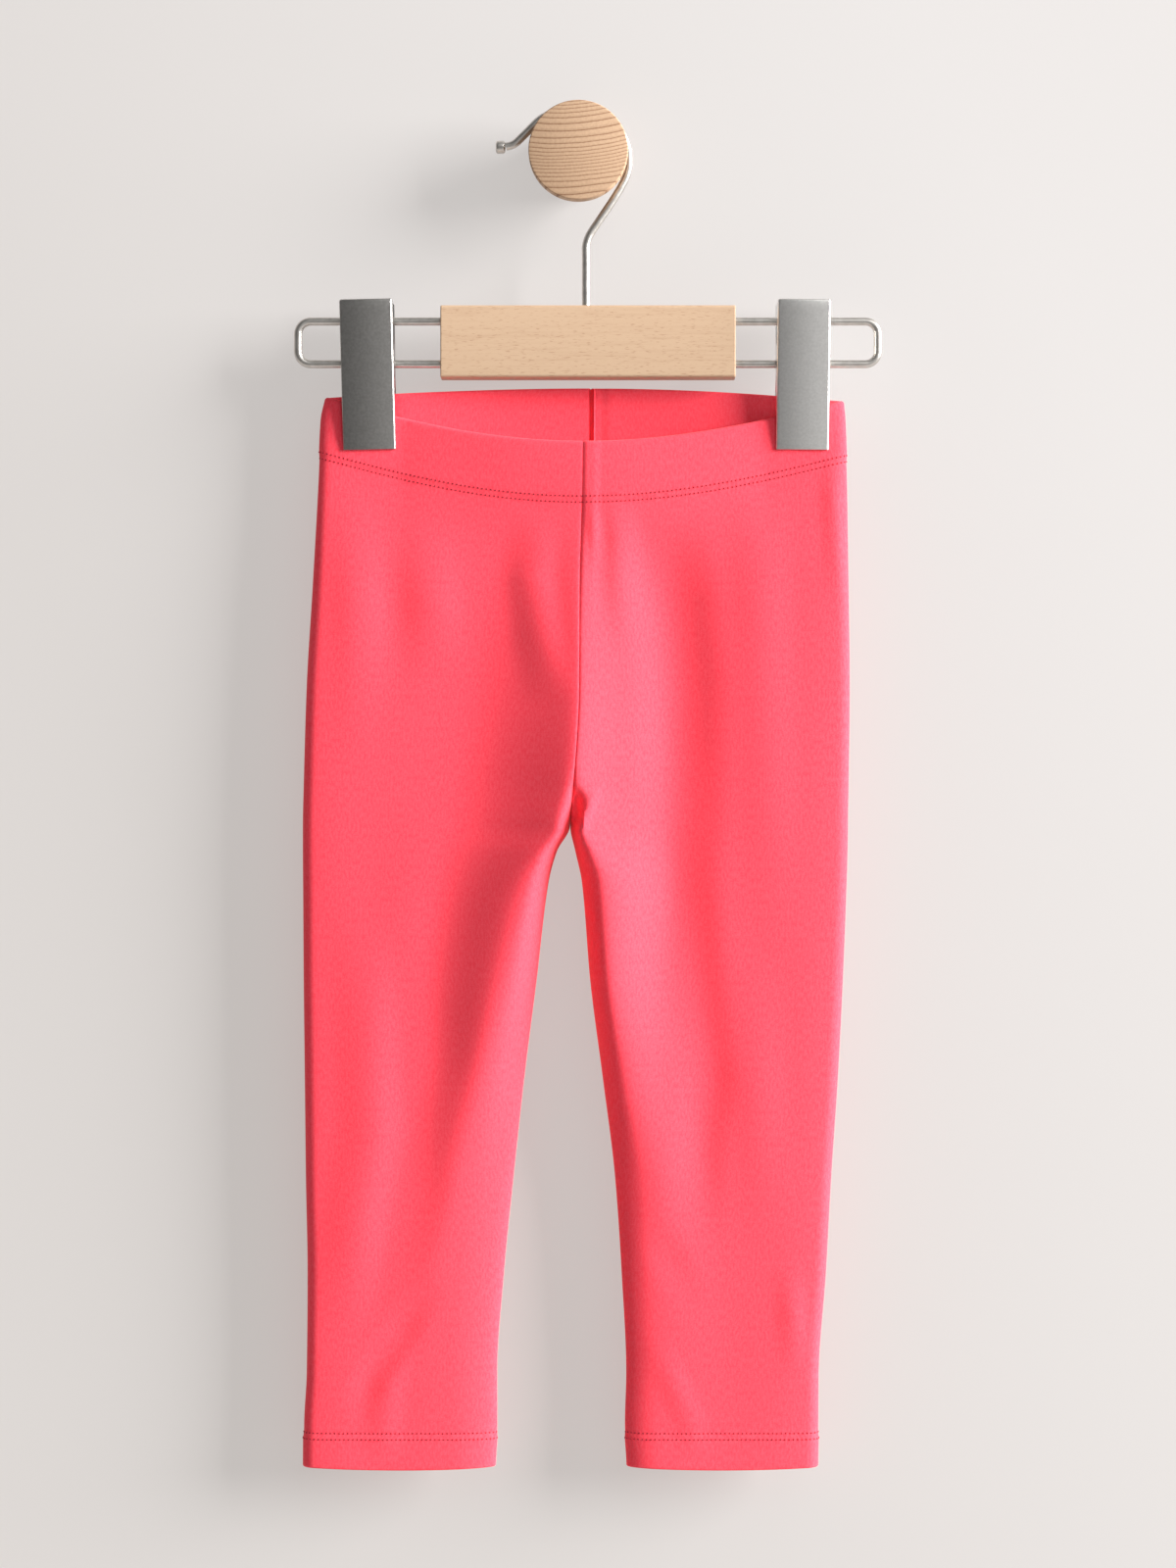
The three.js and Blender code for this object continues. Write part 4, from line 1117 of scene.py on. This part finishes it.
def pressed_plate(face, edge):
    """A sheet with two flanges and a top lip. face is -1 in front; edge is a flange's free edge, upwards."""
    bm = bmesh.new()
    rows = [mix(JAW_Z, CLIP_TOP, i / PLATE_ROWS) for i in range(PLATE_ROWS + 1)]
    skin = [bm.verts.new((-CLIP_HALF, face * plate_y(z), z)) for z in rows]
    free = [bm.verts.new((-CLIP_HALF, face * y, z)) for y, z in edge]
    flange = bm.faces.new([*skin, *reversed(free)])
    bent = [edge for edge in flange.edges if set(edge.verts) <= {*skin, free[-1]}]
    across = Vector((2 * CLIP_HALF, 0, 0))
    copy = bmesh.ops.duplicate(bm, geom=[*flange.verts, *flange.edges, flange])["geom"]
    pushed = bmesh.ops.extrude_edge_only(bm, edges=bent)["geom"]
    moving = set(only([*copy, *pushed], bmesh.types.BMVert))
    bmesh.ops.translate(bm, verts=list(moving), vec=across)
    bmesh.ops.remove_doubles(bm, verts=bm.verts, dist=WELD)
    bmesh.ops.recalc_face_normals(bm, faces=bm.faces)
    bm.normal_update()
    middle = min(bm.faces, key=from_middle)
    if middle.normal.y * face < 0:
        bmesh.ops.reverse_faces(bm, faces=bm.faces)
    rounded(bm, corners(bm, 60), BEND, 4)
    return bm


def lug_arc(start, end, steps=14):
    """Points of the round eye about the wire, as (y, z), between two angles in degrees."""
    angles = [math.radians(mix(start, end, i / steps)) for i in range(steps + 1)]
    return [(LUG_RADIUS * math.cos(a), LUG_RADIUS * math.sin(a)) for a in angles]


def with_lugs(piece):
    """Add the front plate's two lugs, thin slabs with round ends, to its mesh."""
    bm = bmesh.new()
    bm.from_mesh(piece.data)
    seat = -plate_y(0) + PLATE / 2
    outline = [(seat, -LUG_RADIUS), *lug_arc(-90, 90), (seat, LUG_RADIUS)]
    for x in (-LUG_OUTSIDE, LUG_OUTSIDE - LUG):
        slab = bm.faces.new([bm.verts.new((x, y, z)) for y, z in outline])
        pushed = bmesh.ops.extrude_face_region(bm, geom=[slab])["geom"]
        moving = only(pushed, bmesh.types.BMVert)
        bmesh.ops.translate(bm, verts=moving, vec=(LUG, 0, 0))
        faces = {face for vert in moving for face in vert.link_faces} | {slab}
        bmesh.ops.recalc_face_normals(bm, faces=list(faces))
    bm.to_mesh(piece.data)
    bm.free()


def clip_plate(word, kind, face, edge):
    """One plate of a clip: pressed, given its thickness, pierced, and set on the wire at its lean."""
    bm = pressed_plate(face, edge)
    piece = finished(f"pressed_{kind}_{word}", bm, clip_steels_with_painted_reflection[word], [f"clip_{kind}_{word}"])
    walled(piece, PLATE)
    if kind == "front":
        with_lugs(piece)
    broken = piece.modifiers.new("rim", "BEVEL")
    broken.width = RIM
    broken.segments = 2
    broken.limit_method = "ANGLE"
    broken.angle_limit = math.radians(60)
    bored(piece, [((-2 * CLIP_HALF, 0, 0), (2 * CLIP_HALF, 0, 0), WIRE_HOLE)])
    x, lean = CLIPS[word]
    place = Matrix.Translation((HANGER_X + x, HANGER_Y, LOWER_WIRE))
    piece.data.transform(place @ Matrix.Rotation(math.radians(lean), 4, "Y"))
    piece.data.set_sharp_from_angle(angle=math.radians(15))
    print(piece.name, len(piece.data.polygons), "faces when pierced")


FRONT_EDGE = [(plate_y(JAW_Z) - JAW_FLANGE, JAW_Z), (plate_y(-0.034) - JAW_FLANGE - 0.0001, -0.034),
              (plate_y(-0.014) - FLANGE, -0.014), (plate_y(CLIP_TOP) - FLANGE, CLIP_TOP)]
BACK_EDGE = [(plate_y(JAW_Z) - JAW_FLANGE, JAW_Z), (0.0050, -0.0126), *lug_arc(-115, -245), (0.0035, 0.0095),
             (plate_y(0.018) - FLANGE, 0.018), (plate_y(CLIP_TOP) - FLANGE, CLIP_TOP)]
for word in SIDES:
    clip_plate(word, "front", -1, FRONT_EDGE)
    clip_plate(word, "back", 1, BACK_EDGE)

# %% [markdown]
# The spring is a helix: the ring of its thin wire is spun round the frame's wire and moved along it a
# little at each step. It starts at the front and ends at the back, so that a straight leg can leave
# each end upwards and push a plate's handle out.

# %% The clips' springs
SPRING_WIRE = 0.0006
COIL = 0.0030
SPRING_HALF = 0.0088
TURNS = 13.5
TURN_STEPS = 22
LEG = 0.009
LEG_OUT = 0.0045


def spring(x):
    """A coil round the lower wire at x, with its two legs."""
    bm = bmesh.new()
    start = Vector((x - SPRING_HALF, HANGER_Y - COIL, LOWER_WIRE))
    bmesh.ops.create_circle(bm, segments=8, radius=SPRING_WIRE, matrix=Matrix.Translation(start))
    first = bm.edges[:]
    steps = round(TURNS * TURN_STEPS)
    made = bmesh.ops.spin(bm, geom=[*bm.verts, *bm.edges], cent=(x, HANGER_Y, LOWER_WIRE), axis=(1, 0, 0),
                          dvec=(2 * SPRING_HALF / steps, 0, 0), angle=TURNS * 2 * math.pi, steps=steps)
    last = only(made["geom_last"], bmesh.types.BMEdge)
    for ring, out in ((first, -LEG_OUT), (last, LEG_OUT)):
        pushed = bmesh.ops.extrude_edge_only(bm, edges=ring)["geom"]
        moving = only(pushed, bmesh.types.BMVert)
        bmesh.ops.translate(bm, verts=moving, vec=(0, out, LEG))
    bmesh.ops.holes_fill(bm, edges=[edge for edge in bm.edges if edge.is_boundary], sides=0)
    bmesh.ops.recalc_face_normals(bm, faces=bm.faces)
    return bm


for word in SIDES:
    x = HANGER_X + CLIPS[word][0]
    finished(f"coil_spring_{word}", spring(x), spring_steel, [f"clip_spring_{word}"])

# %% [markdown]
# Plain pale wall and floor, and soft studio light from the right. The wall is see-through from behind,
# so that the back of the garment can be looked at. Its shader asks the geometry for that. The wall
# and the floor also give off a weak painted light of their own, stronger to the right and upwards,
# which keeps their shadows faint.

# %% The stage
FLOOR_Z = -1.25
WALL_Y = 0.0005
STAGE_HALF = 3.0
FLOOR_AHEAD = 1.5
WALL_TONE = (0.20, 0.1905, 0.185)
GLOW_LEFT, GLOW_RIGHT = (0.455, 0.432, 0.415), (0.545, 0.525, 0.515)


def stage_plane(name, corners, facing, material):
    """One plane of the stage, with its face to one side."""
    bm = bmesh.new()
    bmesh.ops.contextual_create(bm, geom=[bm.verts.new(corner) for corner in corners])
    bm.normal_update()
    if bm.faces[:][0].normal.dot(Vector(facing)) < 0:
        bmesh.ops.reverse_faces(bm, faces=bm.faces)
    mesh = bpy.data.meshes.new(name)
    bm.to_mesh(mesh)
    bm.free()
    mesh.materials.append(material)
    plane = bpy.data.objects.new(name, mesh)
    bpy.context.scene.collection.objects.link(plane)


stage, stage_tree, stage_shader = on_material("painted wall")
stage_shader.inputs["Base Color"].default_value = (*WALL_TONE, 1)
stage_at = add(stage_tree, "ShaderNodeTexCoord").outputs["Object"]
stage_axes = add(stage_tree, "ShaderNodeSeparateXYZ", {0: stage_at})
# Painted light: the glow grows to the right and upwards.
upwards = maths(stage_tree, "MULTIPLY_ADD", stage_axes.outputs[2], 1.0, 0.66)
to_right = maths(stage_tree, "MULTIPLY_ADD", stage_axes.outputs[0], 1.8, upwards, clamp=True)
glow = ramp(stage_tree, to_right, (0.0, GLOW_LEFT), (1.0, GLOW_RIGHT))
stage_tree.links.new(glow, stage_shader.inputs["Emission Color"])
stage_shader.inputs["Emission Strength"].default_value = 1.0
stage_shader.inputs["Roughness"].default_value = 0.9
stage_shader.inputs["Specular IOR Level"].default_value = 0.1
behind = add(stage_tree, "ShaderNodeNewGeometry").outputs["Backfacing"]
clear = add(stage_tree, "ShaderNodeBsdfTransparent").outputs[0]
either = add(stage_tree, "ShaderNodeMixShader", {0: behind, 1: stage_shader.outputs[0], 2: clear})
stage_tree.links.new(either.outputs[0], stage_tree.nodes["Material Output"].inputs[0])
stage_plane("wall", [(-STAGE_HALF, WALL_Y, FLOOR_Z), (STAGE_HALF, WALL_Y, FLOOR_Z),
                     (STAGE_HALF, WALL_Y, STAGE_HALF), (-STAGE_HALF, WALL_Y, STAGE_HALF)], (0, -1, 0), stage)
stage_plane("floor", [(-STAGE_HALF, -FLOOR_AHEAD, FLOOR_Z), (STAGE_HALF, -FLOOR_AHEAD, FLOOR_Z),
                      (STAGE_HALF, STAGE_HALF, FLOOR_Z), (-STAGE_HALF, STAGE_HALF, FLOOR_Z)], (0, 0, 1), stage)

# %% Light
world = bpy.data.worlds.new("studio")
bpy.context.scene.world = world
world.use_nodes = True
sky = world.node_tree
heading = add(sky, "ShaderNodeSeparateXYZ", {0: add(sky, "ShaderNodeTexCoord").outputs["Generated"]})
across = maths(sky, "MULTIPLY_ADD", heading.outputs[0], 0.5, 0.5)
sky.links.new(ramp(sky, across, (0.0, 0.26), (0.40, 0.16), (0.60, 0.66), (0.72, 0.42), (1.0, 0.35)),
              sky.nodes["Background"].inputs[0])
sky.nodes["Background"].inputs[1].default_value = 0.8

LIGHTS = {
    # place, size, watts
    "key": ((7.0, -2.5, 2.0), 4.2, 2150),
    "fill": ((1.0, -2.6, 1.7), 1.6, 12),
    "back": ((-0.8, 2.6, 0.8), 2.0, 60),
}
for name, (place, size, watts) in LIGHTS.items():
    lamp = bpy.data.lights.new(name, "AREA")
    lamp.size = size
    lamp.energy = watts
    holder = bpy.data.objects.new(name, lamp)
    holder.location = place
    towards = Vector((0, 0, PICTURE_MIDDLE)) - Vector(place)
    holder.rotation_euler = towards.to_track_quat("-Z", "Y").to_euler()
    bpy.context.scene.collection.objects.link(holder)
